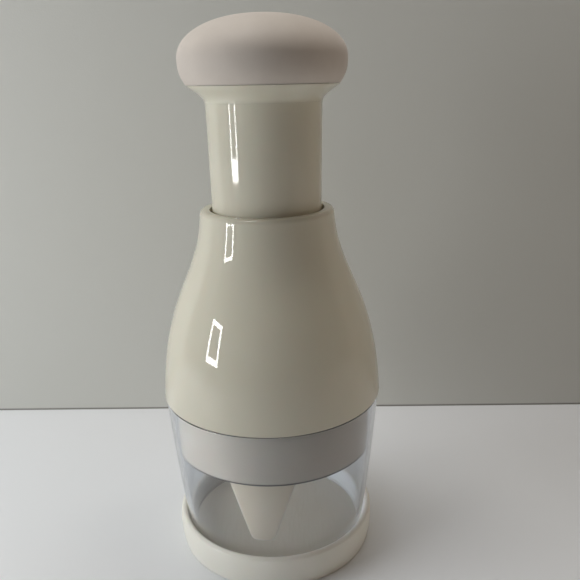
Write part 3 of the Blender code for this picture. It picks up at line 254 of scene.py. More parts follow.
def skin(name, points, finish, closed_rows=False, marks=None):
    """Make an object from a grid of points (rows, columns, 3) in millimetres.

    The face between two rows and two columns takes the corners (i, j), (i+1, j), (i+1, j+1),
    (i, j+1), which faces outwards when the rows run down the outer side and the columns run
    anticlockwise seen from above. Columns always close on themselves. The map's two axes are
    the lengths of the widest row and of the first column.
    """
    rows, columns = points.shape[:2]
    index = np.arange(rows * columns).reshape(rows, columns)
    pole = np.ptp(points, axis=1).max(axis=1) < TINY
    index[pole] = index[pole][:, :1]
    upper = index if closed_rows else index[:-1]
    lower = np.roll(index, -1, axis=0) if closed_rows else index[1:]
    corners = np.stack([upper, lower, np.roll(lower, -1, 1), np.roll(upper, -1, 1)], axis=-1)
    corners = corners.reshape(-1, 4)
    fresh = corners != np.roll(corners, 1, axis=1)
    sides = fresh.sum(1)
    loops = corners[fresh]
    used, loop_vertices = np.unique(loops, return_inverse=True)
    mesh = bpy.data.meshes.new(name)
    mesh.vertices.add(len(used))
    mesh.vertices.foreach_set("co", (points.reshape(-1, 3)[used] * MM).astype(np.float32).ravel())
    mesh.loops.add(len(loops))
    mesh.loops.foreach_set("vertex_index", loop_vertices.astype(np.int32).ravel())
    mesh.polygons.add(len(sides))
    mesh.polygons.foreach_set("loop_start", (np.cumsum(sides) - sides).astype(np.int32))
    mesh.update(calc_edges=True)

    along = np.linalg.norm(np.diff(points[:, 0], axis=0, append=points[:1, 0]), axis=1)
    down = np.concatenate([[0], np.cumsum(along)])
    steps = np.linalg.norm(np.roll(points, -1, axis=1) - points, axis=-1)
    across = np.concatenate([[0], np.cumsum(steps[steps.sum(axis=1).argmax()])])
    row = np.arange(len(upper))[:, None] + np.array([0, 1, 1, 0])
    column = np.arange(columns)[:, None] + np.array([0, 0, 1, 1])
    uv = np.stack(np.broadcast_arrays(across[column][None], down[row][:, None]), axis=-1)
    layer = mesh.uv_layers.new(name="millimetres")
    layer.data.foreach_set("uv", uv.reshape(-1, 4, 2)[fresh].astype(np.float32).ravel())
    for mark, values in (marks or {}).items():
        store = mesh.attributes.new(mark, 'FLOAT', 'POINT')
        spread = np.broadcast_to(np.asarray(values)[:, None], (rows, columns)).reshape(-1)
        store.data.foreach_set("value", spread[used].astype(np.float32))

    mesh.validate()
    mesh.polygons.foreach_set("use_smooth", np.ones(len(mesh.polygons), bool))
    mesh.set_sharp_from_angle(angle=SHARP)
    mesh.materials.append(finish)
    made = bpy.data.objects.new(name, mesh)
    bpy.context.scene.collection.objects.link(made)
    return made


# %% Turning a profile, and seating the piece on its body
ROUND_STEPS = 192


def turned(name, table, finish, closed=True, seams=(), steps=ROUND_STEPS, centre=(0, 0), fit=None):
    """Carry a rounded profile round an upright axis: (r cos a, r sin a, z) for angles a."""
    profile, kind = rounded(table, closed)
    outer_corners = profile[kind > 0]
    if len(seams):
        profile = dense(profile, ROW_STEP, closed)
    angle = np.arange(steps) * math.tau / steps
    points = np.stack(np.broadcast_arrays(
        profile[:, :1] * np.cos(angle), profile[:, :1] * np.sin(angle), profile[:, 1:]), axis=-1)
    points = points + (*centre, 0)
    if fit:
        points = fit(points)
    marks = {"edge_wear_and_highlight": nearness(profile, outer_corners, EDGE_MARK_REACH),
             "seam_dirt_and_shade": nearness(profile, seams, SEAM_MARK_REACH)}
    return skin(name, points, finish, closed, marks)


def around(count, circle):
    """Places evenly spaced on a circle, counted from the front, which is -Y, to the right."""
    angle = np.arange(count) * math.tau / count
    return np.column_stack([circle * np.sin(angle), -circle * np.cos(angle)]).tolist()


def merged(piece, others):
    """One object that holds a piece and others fused to it; the others are used up."""
    with bpy.context.temp_override(active_object=piece, selected_editable_objects=[piece, *others]):
        bpy.ops.object.join()
    return piece


def seat(piece, body, node):
    """Ride a piece on its body in place of a CAD node, and print how far their boxes differ."""
    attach(piece, body)
    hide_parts(node)
    low, high = (np.array(list(corner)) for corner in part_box(node))
    points = np.empty((len(piece.data.vertices), 3), np.float32)
    piece.data.vertices.foreach_get("co", points.ravel())
    off = np.abs([points.min(0) - low, points.max(0) - high]).max()
    print(f"{piece.name}: {len(piece.data.polygons)} faces, box within {off / MM:.2f} mm")


# %% [markdown]
# ## The camera
#
# The photograph was taken from close by, level with the knob's parting line and looking down
# at the dish, with a slight turn to the right and a slight roll. The direction of view comes
# from two angles, the picture's right and up follow from it, and the roll turns those two.

# %% Place the camera
EYE = (0.0, -283.31, 213.60)
DOWN, YAW, ROLL = math.radians(17.801), math.radians(1.851), math.radians(-1.203)
FOCAL_PIXELS, PICTURE_PIXELS, SENSOR, NEAREST = 661.0, 580, 36.0, 10

level = np.array([math.sin(YAW), math.cos(YAW), 0])
forward = math.cos(DOWN) * level - math.sin(DOWN) * np.array([0, 0, 1])
flat_right = np.array([math.cos(YAW), -math.sin(YAW), 0])
flat_up = np.cross(flat_right, forward)
right = math.cos(ROLL) * flat_right + math.sin(ROLL) * flat_up
up = math.cos(ROLL) * flat_up - math.sin(ROLL) * flat_right

camera = bpy.data.objects.new("camera", bpy.data.cameras.new("camera"))
bpy.context.scene.collection.objects.link(camera)
camera.data.sensor_width = SENSOR
camera.data.lens = FOCAL_PIXELS / PICTURE_PIXELS * SENSOR
camera.data.clip_start = NEAREST * MM
bpy.context.scene.view_settings.view_transform = 'Standard'
turn = Matrix(np.column_stack([right, up, -forward]).tolist()).to_4x4()
camera.matrix_world = Matrix.Translation(np.array(EYE) * MM) @ turn
bpy.context.scene.camera = camera
print(f"camera: lens {camera.data.lens:.2f} mm, {np.linalg.norm(EYE):.0f} mm from the dish")

# %% [markdown]
# ## The table and the wall
#
# A pale laminate table carries the chopper and a painted wall stands a hand's width behind
# it, with a thin line of shadow painted at its foot. They are the stage and not part of the object.
# Each is one flat face; the wall lets the camera look through it from behind, so that the
# chopper can be seen from all sides.

# %% Table and wall
WALL_DISTANCE, WALL_TURN = 121.4, math.radians(-3.15)
STAGE_REACH = 3000


def flat_face(name, corners, finish):
    """One flat face through four corners, given anticlockwise as seen from its front."""
    mesh = bpy.data.meshes.new(name)
    mesh.from_pydata((np.array(corners, float) * MM).tolist(), [], [(0, 1, 2, 3)])
    mesh.materials.append(finish)
    made = bpy.data.objects.new(name, mesh)
    bpy.context.scene.collection.objects.link(made)


laminate, tree, shader, _, place = start_finish(
    "matt table laminate", **{"Base Color": linear("#eceef1"), "Roughness": 0.5, "IOR": 1.45})
connect(tree, shader, Normal=relief(tree, place, 0.6, 3.0, 0.1, 0.05))

paint, tree, shader, output, place = start_finish("matt wall paint", Roughness=0.9)
height = add(tree, "ShaderNodeSeparateXYZ", {"Vector": place}).outputs["Z"]
# A thin line of shadow is painted along the wall's foot.
painted_foot_shadow = add(tree, "ShaderNodeMapRange", {"Value": height, "From Min": 1.5 * MM, "From Max": 0.7 * MM})
shade = add(tree, "ShaderNodeMix", {0: painted_foot_shadow.outputs[0], 6: linear("#d6d6d0"), 7: linear("#8d8b84")},
            data_type='RGBA')
connect(tree, shader, Base_Color=shade.outputs[2], Normal=relief(tree, place, 0.9, 2.0, 0.3, 0.2))
behind = add(tree, "ShaderNodeNewGeometry").outputs["Backfacing"]
open_side = add(tree, "ShaderNodeBsdfTransparent")
seen = add(tree, "ShaderNodeMixShader", {0: behind, 1: shader.outputs[0], 2: open_side.outputs[0]})
connect(tree, output, Surface=seen.outputs[0])

far = STAGE_REACH
flat_face("table", [(-far, -far, 0), (far, -far, 0), (far, far, 0), (-far, far, 0)], laminate)
left_end, right_end = (WALL_DISTANCE + side * far * math.tan(WALL_TURN) for side in (-1, 1))
flat_face("wall", [(far, right_end, 0), (far, right_end, far), (-far, left_end, far),
                   (-far, left_end, 0)], paint)
print(f"stage: a table, and a wall {WALL_DISTANCE} mm behind the chopper's axis")

# %% [markdown]
# ## The light
#
# A window stands to the left and a little in front, and the room is dim on the right. Two
# soft lamps do the window's work on matt surfaces. A wide one overhead is the skylight, which
# gloss sees too, a warm one at the right is the light that the room gives back, and the world
# adds a trace. Gloss shows the window itself: a blind with light along its edges. Four narrow
# lamps draw that bright frame, and only gloss sees them.

# %% A lamp
def lamp(name, place, target, size, strength, colour):
    """A rectangular lamp aimed at a target; strength is the light level of its own face."""
    data = bpy.data.lights.new(name, 'AREA')
    data.shape = 'RECTANGLE'
    data.size, data.size_y = (side * MM for side in size)
    data.energy = strength * math.pi * data.size * data.size_y
    data.color = colour
    made = bpy.data.objects.new(name, data)
    bpy.context.scene.collection.objects.link(made)
    place, target = np.array(place, float), np.array(target, float)
    back = unit(place - target)
    side = unit(np.cross([0, 0, 1], back) + [TINY, 0, 0])
    made.matrix_world = (Matrix.Translation(place * MM)
                         @ Matrix(np.column_stack([side, np.cross(back, side), back]).tolist()).to_4x4())
    made.visible_camera = False
    return made


# %% Lamps and world
BELL_MIDDLE = (0, 0, 110)
DAYLIGHT, SKY, ROOM_LIGHT, GLARE = (0.96, 0.98, 1.0), (1.0, 0.98, 0.94), (1.0, 0.79, 0.62), (1.0, 1.0, 0.96)
for name, place, size, strength, colour in (
        ("window_glow", (-700, -60, 250), (250, 250), 3.7, DAYLIGHT),
        ("near_window_glow", (-508, -185, 255), (300, 300), 4.0, DAYLIGHT),
        ("skylight", (-20, 60, 900), (560, 250), 7.9, SKY),
        ("room_glow", (817, -219, 418), (500, 500), 1.02, ROOM_LIGHT)):
    soft = lamp(name, place, BELL_MIDDLE, size, strength, colour)
    soft.visible_glossy = name == "skylight"

WINDOW_TURN, WINDOW_DISTANCE, GLARE_STRENGTH = math.radians(62.8), 527, 22.0
window_out = np.array([-math.sin(WINDOW_TURN), -math.cos(WINDOW_TURN), 0])
window_side = np.array([math.cos(WINDOW_TURN), -math.sin(WINDOW_TURN), 0])
for number, (across, height, width, tall) in enumerate([
        (-56, 171, 16, 170), (56, 171, 16, 170), (0, 247.5, 96, 17), (0, 99, 96, 25)]):
    middle = window_out * WINDOW_DISTANCE + window_side * across + (0, 0, height)
    bar = lamp(f"window_bar_{number}", middle, middle * (0, 0, 1), (width, tall), GLARE_STRENGTH, GLARE)
    bar.visible_diffuse = False
    bar.visible_transmission = False

world = bpy.data.worlds.new("room")
bpy.context.scene.world = world
world.use_nodes = True
room = world.node_tree.nodes["Background"]
room.inputs["Color"].default_value = linear("#fff6ea")
room.inputs["Strength"].default_value = 0.02
print("lamps:", len(bpy.data.lights), "and the world")


# %% [markdown]
# ## Gloss ABS
#
# The bell, the sleeve and the underside of the knob are ABS, injection moulded in a polished
# tool and warm white. The polish gives small crisp reflections; the melt leaves a faint
# waviness some millimetres across, and years of hands leave hairlines that only show as a
# slight dulling. The colour comes first, then the roughness, then the bump.

# %% Gloss ABS, moulded in a polished tool
gloss_abs, tree, shader, _, place = start_finish(
    "gloss ABS, moulded in a polished tool", **{"IOR": 1.54, "Subsurface Weight": 0.06,
                                                "Subsurface Scale": 1.2 * MM})
_, white = clouds(tree, place, 30, 2.0, "#dcd7c4", "#e3decc")
# Joint lines are darkened in patches: partly dirt, partly painted shade where the bell meets the cup and the
# sleeve.
joint_mark = add(tree, "ShaderNodeAttribute", attribute_name="seam_dirt_and_shade")
patchy = add(tree, "ShaderNodeTexNoise", {"Vector": place, "Scale": 1 / (3 * MM), "Detail": 3.0})
dirt_and_shade = add(tree, "ShaderNodeMath", {0: joint_mark.outputs["Fac"], 1: patchy.outputs["Fac"]},
           operation='MULTIPLY')
soiled_and_shaded = add(tree, "ShaderNodeMix", {0: dirt_and_shade.outputs[0], 6: white, 7: linear("#8d8371")}, data_type='RGBA')
stroke = add(tree, "ShaderNodeMapping", {"Vector": place, "Rotation": (0.03, 0.05, 0.4),
                                         "Scale": (1.0, 1.0, 0.035)})
hairline = add(tree, "ShaderNodeTexNoise", {"Vector": stroke.outputs[0], "Scale": 1 / (0.45 * MM),
                                            "Detail": 1.0})
hairs = add(tree, "ShaderNodeMapRange", {"Value": hairline.outputs["Fac"], "From Min": 0.66,
                                         "From Max": 0.78, "To Max": 0.06})
handled = add(tree, "ShaderNodeTexNoise", {"Vector": place, "Scale": 1 / (18 * MM), "Detail": 4.0})
satin = add(tree, "ShaderNodeMapRange", {"Value": handled.outputs["Fac"], "From Min": 0.35,
                                         "From Max": 0.75, "To Min": 0.02, "To Max": 0.05})
edge_wear = add(tree, "ShaderNodeAttribute", attribute_name="edge_wear_and_highlight")
duller = add(tree, "ShaderNodeMath", {0: edge_wear.outputs["Fac"], 1: 0.12, 2: satin.outputs[0]},
             operation='MULTIPLY_ADD')
rough = add(tree, "ShaderNodeMath", {0: duller.outputs[0], 1: hairs.outputs[0]}, operation='ADD')
cut = add(tree, "ShaderNodeBump", {"Height": hairs.outputs[0], "Strength": 0.5, "Distance": 0.01 * MM,
                                   "Normal": relief(tree, place, 9, 1.0, 1.0, 0.012)}, invert=True)
connect(tree, shader, Base_Color=soiled_and_shaded.outputs[2], Roughness=rough.outputs[0], Normal=cut.outputs[0])

# %% [markdown]
# ## Soft-touch elastomer
#
# The palm lands on a cap of soft-touch TPE, moulded over a rigid core. Its skin is spark
# eroded: a grain of about a third of a millimetre that scatters light, so the crown has no
# highlight, only a soft fade. Skin oils polish it a little in patches, and dust sticks to it
# as a few dark specks.

# %% Soft-touch TPE, eroded skin
soft_touch, tree, shader, _, place = start_finish(
    "soft-touch TPE, eroded skin", **{"IOR": 1.48, "Specular IOR Level": 0.35, "Sheen Weight": 0.32,
                                      "Sheen Roughness": 0.45, "Sheen Tint": linear("#fbf4f2")})
oils = add(tree, "ShaderNodeTexNoise", {"Vector": place, "Scale": 1 / (13 * MM), "Detail": 4.0,
                                        "Roughness": 0.6})
skin_tone = add(tree, "ShaderNodeMix", {0: oils.outputs["Fac"], 6: linear("#cfc5bb"), 7: linear("#dbd1c7")},
                data_type='RGBA')
speck = add(tree, "ShaderNodeTexVoronoi", {"Vector": place, "Scale": 1 / (5.5 * MM)})
dust = add(tree, "ShaderNodeMapRange", {"Value": speck.outputs["Distance"], "From Min": 0.045,
                                        "From Max": 0.03, "To Max": 0.55})
# The parting line is darkened a little, partly dirt and partly painted shade in its gap; dust adds dark
# specks.
seam = add(tree, "ShaderNodeAttribute", attribute_name="seam_dirt_and_shade")
dust_and_seam_shade = add(tree, "ShaderNodeMath", {0: seam.outputs["Fac"], 1: 0.2, 2: dust.outputs[0]},
           operation='MULTIPLY_ADD')
dusted_and_seam_shaded = add(tree, "ShaderNodeMix", {0: dust_and_seam_shade.outputs[0], 6: skin_tone.outputs[2], 7: linear("#6f665c")},
            data_type='RGBA')
polish = add(tree, "ShaderNodeMapRange", {"Value": oils.outputs["Fac"], "From Min": 0.3, "From Max": 0.7,
                                          "To Min": 0.68, "To Max": 0.52})
connect(tree, shader, Base_Color=dusted_and_seam_shaded.outputs[2], Roughness=polish.outputs[0],
        Normal=relief(tree, place, 0.34, 2.0, 0.55, 0.05))

# %% [markdown]
# ## Satin ABS
#
# The dish is ABS again, paler, and from a finely blasted tool, so it reflects in a soft patch.
# Its floor lies under the head, so a greyer disc is painted inside the cup as the shade that
# the head casts there, broken into streaks that look like fine scuffs. The disc is told by its
# distance from the axis and its height, and the streaks are two noises stretched in different
# directions.

# %% Satin ABS, blasted tool
satin_abs, tree, shader, _, place = start_finish(
    "satin ABS, moulded in a blasted tool", **{"IOR": 1.54, "Subsurface Weight": 0.05,
                                               "Subsurface Scale": 1.0 * MM})
_, white = clouds(tree, place, 25, 2.0, "#f7f4e8", "#fbf9ef")
where = add(tree, "ShaderNodeSeparateXYZ", {"Vector": place})
floor_plan = add(tree, "ShaderNodeCombineXYZ", {"X": where.outputs["X"], "Y": where.outputs["Y"]})
from_axis = add(tree, "ShaderNodeVectorMath", {0: floor_plan.outputs[0]}, operation='LENGTH')
inside_cup = add(tree, "ShaderNodeMapRange", {"Value": from_axis.outputs["Value"], "From Min": 43.4 * MM,
                                              "From Max": 43.2 * MM})
low_down = add(tree, "ShaderNodeMapRange", {"Value": where.outputs["Z"], "From Min": 6.4 * MM,
                                            "From Max": 5.2 * MM})
floor_shade_mask = add(tree, "ShaderNodeMath", {0: inside_cup.outputs[0], 1: low_down.outputs[0]},
               operation='MULTIPLY')
streak_noises = []
for swing, stretch, size in ((0.6, 0.05, 0.5), (1.9, 0.06, 0.6)):
    way = add(tree, "ShaderNodeMapping", {"Vector": place, "Rotation": (0, 0, swing),
                                          "Scale": (1.0, stretch, 1.0)})
    streak_noise = add(tree, "ShaderNodeTexNoise", {"Vector": way.outputs[0], "Scale": 1 / (size * MM),
                                               "Detail": 2.0})
    streak_noises.append(streak_noise.outputs["Fac"])
floor_streaks = add(tree, "ShaderNodeMath", {0: streak_noises[0], 1: streak_noises[1]}, operation='MULTIPLY')
streaked_share = add(tree, "ShaderNodeMapRange", {"Value": floor_streaks.outputs[0], "From Min": 0.12, "From Max": 0.42,
                                           "To Min": 0.82, "To Max": 1.0})
# The floor inside the cup is painted greyer, as the shade that the head casts there.
floor_shade_share = add(tree, "ShaderNodeMath", {0: floor_shade_mask.outputs[0], 1: streaked_share.outputs[0]},
                 operation='MULTIPLY')
floor_shaded = add(tree, "ShaderNodeMix", {0: floor_shade_share.outputs[0], 6: white, 7: linear("#cdc5b3")},
             data_type='RGBA')
# The groove's seams are darkened: partly dirt, partly painted shade.
seam = add(tree, "ShaderNodeAttribute", attribute_name="seam_dirt_and_shade")
seam_darkening = add(tree, "ShaderNodeMath", {0: seam.outputs["Fac"], 1: 0.5}, operation='MULTIPLY')
soiled_and_shaded = add(tree, "ShaderNodeMix", {0: seam_darkening.outputs[0], 6: floor_shaded.outputs[2], 7: linear("#7f786b")},
             data_type='RGBA')
patches = add(tree, "ShaderNodeTexNoise", {"Vector": place, "Scale": 1 / (14 * MM), "Detail": 3.0})
rough = add(tree, "ShaderNodeMapRange", {"Value": patches.outputs["Fac"], "From Min": 0.3, "From Max": 0.7,
                                         "To Min": 0.29, "To Max": 0.38})
connect(tree, shader, Base_Color=soiled_and_shaded.outputs[2], Roughness=rough.outputs[0],
        Normal=relief(tree, place, 0.3, 2.0, 0.35, 0.02))

# %% [markdown]
# ## Clear SAN
#
# The cup is clear SAN, a stiff plastic with a faint blue cast that hides its natural yellow.
# It is real glass to the camera, with the wall's true thickness, so its edges and curves
# bend what stands behind. Rays towards a lamp pass straight through with a slight loss,
# because a clear cup throws hardly any shadow. Washing leaves a light haze of hairlines.

# %% Clear SAN, polished
clear_san, tree, shader, output, place = start_finish(
    "clear SAN, polished", **{"Base Color": linear("#e3e6ea"), "IOR": 1.57, "Transmission Weight": 1.0})
rinse = add(tree, "ShaderNodeMapping", {"Vector": place, "Rotation": (0.02, 0.04, 0),
                                        "Scale": (1.0, 1.0, 0.06)})
hairline = add(tree, "ShaderNodeTexNoise", {"Vector": rinse.outputs[0], "Scale": 1 / (0.6 * MM),
                                            "Detail": 2.0})
haze = add(tree, "ShaderNodeMapRange", {"Value": hairline.outputs["Fac"], "From Min": 0.55, "From Max": 0.8,
                                        "To Min": 0.012, "To Max": 0.09})
connect(tree, shader, Roughness=haze.outputs[0], Normal=relief(tree, place, 11, 1.0, 1.0, 0.01))
lamp_ray = add(tree, "ShaderNodeLightPath").outputs["Is Shadow Ray"]
passing = add(tree, "ShaderNodeBsdfTransparent", {"Color": linear("#eff0f4")})
cup_glass = add(tree, "ShaderNodeMixShader", {0: lamp_ray, 1: shader.outputs[0], 2: passing.outputs[0]})
connect(tree, output, Surface=cup_glass.outputs[0])

# %% [markdown]
# ## Polypropylene, grey and natural
#
# Collar, blade carrier and retaining ring are polypropylene in a light grey; the wiper is left
# natural, which is paler and a little creamy. The plastic is softer than ABS and slightly
# waxy: a broad, low highlight and a little light that goes into the surface. The tool is
# eroded to a fine even grain. Handled edges are rubbed smoother, and a paler colour is painted
# along them as a highlight, nearly white on the wiper. The joint lines get a thin near-black
# line that is dull: painted shade, with some grease.

# %% Two polypropylenes
plastics = {}
# The last colour of each is painted on the edges as a highlight.
for plastic_name, dark, pale, worn_and_highlight in (
        ("light grey polypropylene, eroded tool", "#cec5b5", "#d6cdbd", "#d6cdbd"),
        ("natural polypropylene, eroded tool", "#ebddc3", "#f1e5ce", "#fffcf4")):
    plastic, tree, shader, _, place = start_finish(
        plastic_name, **{"IOR": 1.49, "Subsurface Weight": 0.08, "Subsurface Scale": 1.2 * MM})
    _, tint = clouds(tree, place, 20, 3.0, dark, pale)
    edge = add(tree, "ShaderNodeAttribute", attribute_name="edge_wear_and_highlight")
    rubbed_and_highlit = add(tree, "ShaderNodeMix", {0: edge.outputs["Fac"], 6: tint, 7: linear(worn_and_highlight)},
                 data_type='RGBA')
    # Joint lines are painted near-black: shade, with some grease.
    seam = add(tree, "ShaderNodeAttribute", attribute_name="seam_dirt_and_shade")
    soiled_and_shaded = add(tree, "ShaderNodeMix", {0: seam.outputs["Fac"], 6: rubbed_and_highlit.outputs[2], 7: linear("#241e19")},
                 data_type='RGBA')
    wax = add(tree, "ShaderNodeTexNoise", {"Vector": place, "Scale": 1 / (8 * MM), "Detail": 3.0})
    satin = add(tree, "ShaderNodeMapRange", {"Value": wax.outputs["Fac"], "From Min": 0.3, "From Max": 0.7,
                                             "To Min": 0.30, "To Max": 0.40})
    polished = add(tree, "ShaderNodeMath", {0: edge.outputs["Fac"], 1: -0.24, 2: satin.outputs[0]},
                   operation='MULTIPLY_ADD')
    rough = add(tree, "ShaderNodeMath", {0: seam.outputs["Fac"], 1: 0.3, 2: polished.outputs[0]},
                operation='MULTIPLY_ADD')
    shine = add(tree, "ShaderNodeMapRange", {"Value": seam.outputs["Fac"], "To Min": 0.5, "To Max": 0.05})
    connect(tree, shader, Base_Color=soiled_and_shaded.outputs[2], Roughness=rough.outputs[0],
            Specular_IOR_Level=shine.outputs[0], Normal=relief(tree, place, 0.25, 2.0, 0.4, 0.02))
    plastics[plastic_name.split()[0]] = plastic
grey_pp, natural_pp = plastics["light"], plastics["natural"]

# %% [markdown]
# ## Ground stainless steel and spring wire
#
# The blade is hardened stainless strip. Rolling and belt grinding leave long fine lines along
# the strip, and the lower edge is ground across to a bright bevel. The spring is drawn wire,
# dark, with streaks that run along it. The lines are a noise stretched along the piece's own
# map in millimetres; the bevel is told from the rest by its height.

# %% Stainless strip with a ground bevel
blade_steel, tree, shader, _, place = start_finish("belt-ground stainless steel", Metallic=1.0)
strip_map = add(tree, "ShaderNodeUVMap", uv_map="millimetres")
lines = add(tree, "ShaderNodeMapping", {"Vector": strip_map.outputs[0], "Scale": (1.0, 0.012, 1.0)})
grinding = add(tree, "ShaderNodeTexNoise", {"Vector": lines.outputs[0], "Scale": 4.0, "Detail": 2.0})
height = add(tree, "ShaderNodeSeparateXYZ", {"Vector": place}).outputs["Z"]
bevel = add(tree, "ShaderNodeMapRange", {"Value": height, "From Min": 49.85 * MM, "From Max": 49.75 * MM})
streaked = add(tree, "ShaderNodeMix", {0: grinding.outputs["Fac"], 6: linear("#b4b6b9"),
                                       7: linear("#cfd1d3")}, data_type='RGBA')
bright = add(tree, "ShaderNodeMix", {0: bevel.outputs[0], 6: streaked.outputs[2], 7: linear("#dcdee0")},
             data_type='RGBA')
lined = add(tree, "ShaderNodeMapRange", {"Value": grinding.outputs["Fac"], "From Min": 0.3, "From Max": 0.7,
                                         "To Min": 0.29, "To Max": 0.40})
rough = add(tree, "ShaderNodeMath", {0: bevel.outputs[0], 1: -0.20, 2: lined.outputs[0]},
            operation='MULTIPLY_ADD')
scored = add(tree, "ShaderNodeBump", {"Height": grinding.outputs["Fac"], "Strength": 0.2,
                                      "Distance": 0.01 * MM})
connect(tree, shader, Base_Color=bright.outputs[2], Roughness=rough.outputs[0], Normal=scored.outputs[0])

# %% Drawn spring wire
spring_wire, tree, shader, _, place = start_finish("drawn spring wire, lightly oiled", Metallic=1.0)
wire_map = add(tree, "ShaderNodeUVMap", uv_map="millimetres")
lines = add(tree, "ShaderNodeMapping", {"Vector": wire_map.outputs[0], "Scale": (1.0, 0.02, 1.0)})
drawn = add(tree, "ShaderNodeTexNoise", {"Vector": lines.outputs[0], "Scale": 7.0, "Detail": 3.0})
tint = add(tree, "ShaderNodeMix", {0: drawn.outputs["Fac"], 6: linear("#6d6f73"), 7: linear("#94969a")},
           data_type='RGBA')
rough = add(tree, "ShaderNodeMapRange", {"Value": drawn.outputs["Fac"], "To Min": 0.29, "To Max": 0.44})
connect(tree, shader, Base_Color=tint.outputs[2], Roughness=rough.outputs[0])

# %% [markdown]
# ## Rod, plating, acetal and rubber
#
# The other inner finishes need one pattern each, which sets both tone and roughness. The rod
# is centreless-ground stainless, with lines round it. Screws, nut and washers are zinc plated
# and passivated, a slightly blue grey with paler clouds. The guide tube, the index tube and
# its nut are natural acetal, a slippery, slightly translucent off-white. The bumper is black
# nitrile rubber and the ring under the dish is a pale grey elastomer; both are matt, with a
# fine grain and a bloom of dust.

# %% Finishes with one pattern each
RUBBER = {"IOR": 1.5, "Specular IOR Level": 0.4}


def clouded_finish(name, size, detail, tones, roughness, stretch=None, pores=False, **shader_inputs):
    """A finish whose clouds, of a size in mm, blend its two tones and its two roughnesses."""
    material, tree, shader, _, place = start_finish(name, **shader_inputs)
    pattern_place = place
    if stretch:
        pattern_place = add(tree, "ShaderNodeMapping", {"Vector": place, "Scale": stretch}).outputs[0]
    cloud, tint = clouds(tree, pattern_place, size, detail, *tones)
    rough = add(tree, "ShaderNodeMapRange", {"Value": cloud, "To Min": roughness[0], "To Max": roughness[1]})
    connect(tree, shader, Base_Color=tint, Roughness=rough.outputs[0])
    if pores:
        connect(tree, shader, Normal=relief(tree, place, 0.3, 2.0, 0.5, 0.04))
    return material


rod_steel = clouded_finish("centreless-ground stainless steel", 0.2, 2.0, ("#b9bbbe", "#cdcfd1"),
                           (0.14, 0.26), stretch=(0.05, 0.05, 1.0), Metallic=1.0)
zinc = clouded_finish("zinc plating, clear passivated", 2.5, 4.0, ("#a9b0b8", "#c6c4ba"), (0.30, 0.46),
                      Metallic=1.0)
acetal = clouded_finish("natural acetal", 6, 3.0, ("#d6d4c8", "#e2e0d6"), (0.30, 0.42),
                        **{"IOR": 1.48, "Subsurface Weight": 0.12, "Subsurface Scale": 1.5 * MM})
nitrile = clouded_finish("nitrile rubber", 4, 5.0, ("#1d1c1b", "#2c2b29"), (0.6, 0.85), pores=True, **RUBBER)
grip_rubber = clouded_finish("pale grip elastomer", 4, 5.0, ("#a9a7a0", "#bab8b2"), (0.6, 0.85), pores=True,
                             **RUBBER)

finishes = {
    "white_gloss": gloss_abs, "soft_touch": soft_touch, "white_satin": satin_abs,
    "clear_plastic": clear_san, "grey_satin": grey_pp, "polished_steel": rod_steel,
    "zinc_steel": zinc, "spring_steel": spring_wire, "guide_plastic": acetal,
    "dark_rubber": nitrile, "pale_rubber": grip_rubber,
}


# %% [markdown]
# ## The dish
#
# A shallow tray closes the cup from below: a flat floor, a wall that leans out with the cup's
# taper, a rim that is half an ellipse in section, and a side that bellies out a millimetre
# before it comes in to the foot. A groove under it holds the grip ring. It is turned from one
# profile that starts at the middle of the floor and ends at the middle of the underside.
# Here and in the next pieces each row of a table is a radius, a height and a rounding, a name
# that ends in _Z is a height, and the bare names are radii.

# %% Dish and grip ring
def arc(centre, reach, start, end, count):
    """Points on an ellipse from one angle to another, in degrees from the radius axis."""
    angle = np.radians(np.linspace(start, end, count + 1))
    return np.column_stack([centre[0] + reach[0] * np.cos(angle), centre[1] + reach[1] * np.sin(angle)])


DISH_WIDEST, DISH_WIDEST_Z, DISH_FALL = 46.8, 9.495, 8.495
DISH_FLOOR, DISH_FLOOR_Z = 42.25, 4.2
RIM_MIDDLE, RIM_HALF = (45.03, 13.7), (1.53, 1.3)
DISH_FOOT, DISH_FOOT_Z, FOOT_FACE_Z = 45.66, 0.03, 0.4
DISH_SIDE_Z, DISH_SIDE_FOOT_Z = 13.5, 1.6
HOLLOW, HOLLOW_Z = 35.5, 1.8
GROOVE_OUTER, GROOVE_INNER, GROOVE_Z, GROOVE_SEAM_Z = 43.0, 38.0, 1.9, 0.6
RING_PLAY = 0.3

side_z = np.linspace(DISH_SIDE_Z, DISH_SIDE_FOOT_Z, 24)
side = np.column_stack([DISH_WIDEST - ((DISH_WIDEST_Z - side_z) / DISH_FALL) ** 2, side_z])
dish = turned("dish", np.vstack([
    [(0, DISH_FLOOR_Z, 0), (DISH_FLOOR, DISH_FLOOR_Z, 0.5)],
    plain(arc(RIM_MIDDLE, RIM_HALF, 180, 0, 20)), plain(side),
    [(DISH_FOOT, DISH_FOOT_Z, 0.15), (GROOVE_OUTER, FOOT_FACE_Z, 0.25), (GROOVE_OUTER, GROOVE_Z, 0.2),
     (GROOVE_INNER, GROOVE_Z, 0.2), (GROOVE_INNER, FOOT_FACE_Z, 0.25), (HOLLOW, FOOT_FACE_Z, 0.4),
     (HOLLOW, HOLLOW_Z, 0.5), (0, HOLLOW_Z, 0)]]), satin_abs, closed=False,
    seams=[(GROOVE_OUTER, GROOVE_SEAM_Z), (GROOVE_INNER, GROOVE_SEAM_Z)])
seat(dish, "base", "base_dish")

ring_outer, ring_inner, ring_z = GROOVE_OUTER - RING_PLAY, GROOVE_INNER + RING_PLAY, GROOVE_Z - RING_PLAY
grip_ring = turned("grip_ring", [(ring_outer, ring_z, 0.2), (ring_outer, 0, 0.5), (ring_inner, 0, 0.5),
                                 (ring_inner, ring_z, 0.2)], grip_rubber)
seat(grip_ring, "base", "base_grip_ring")

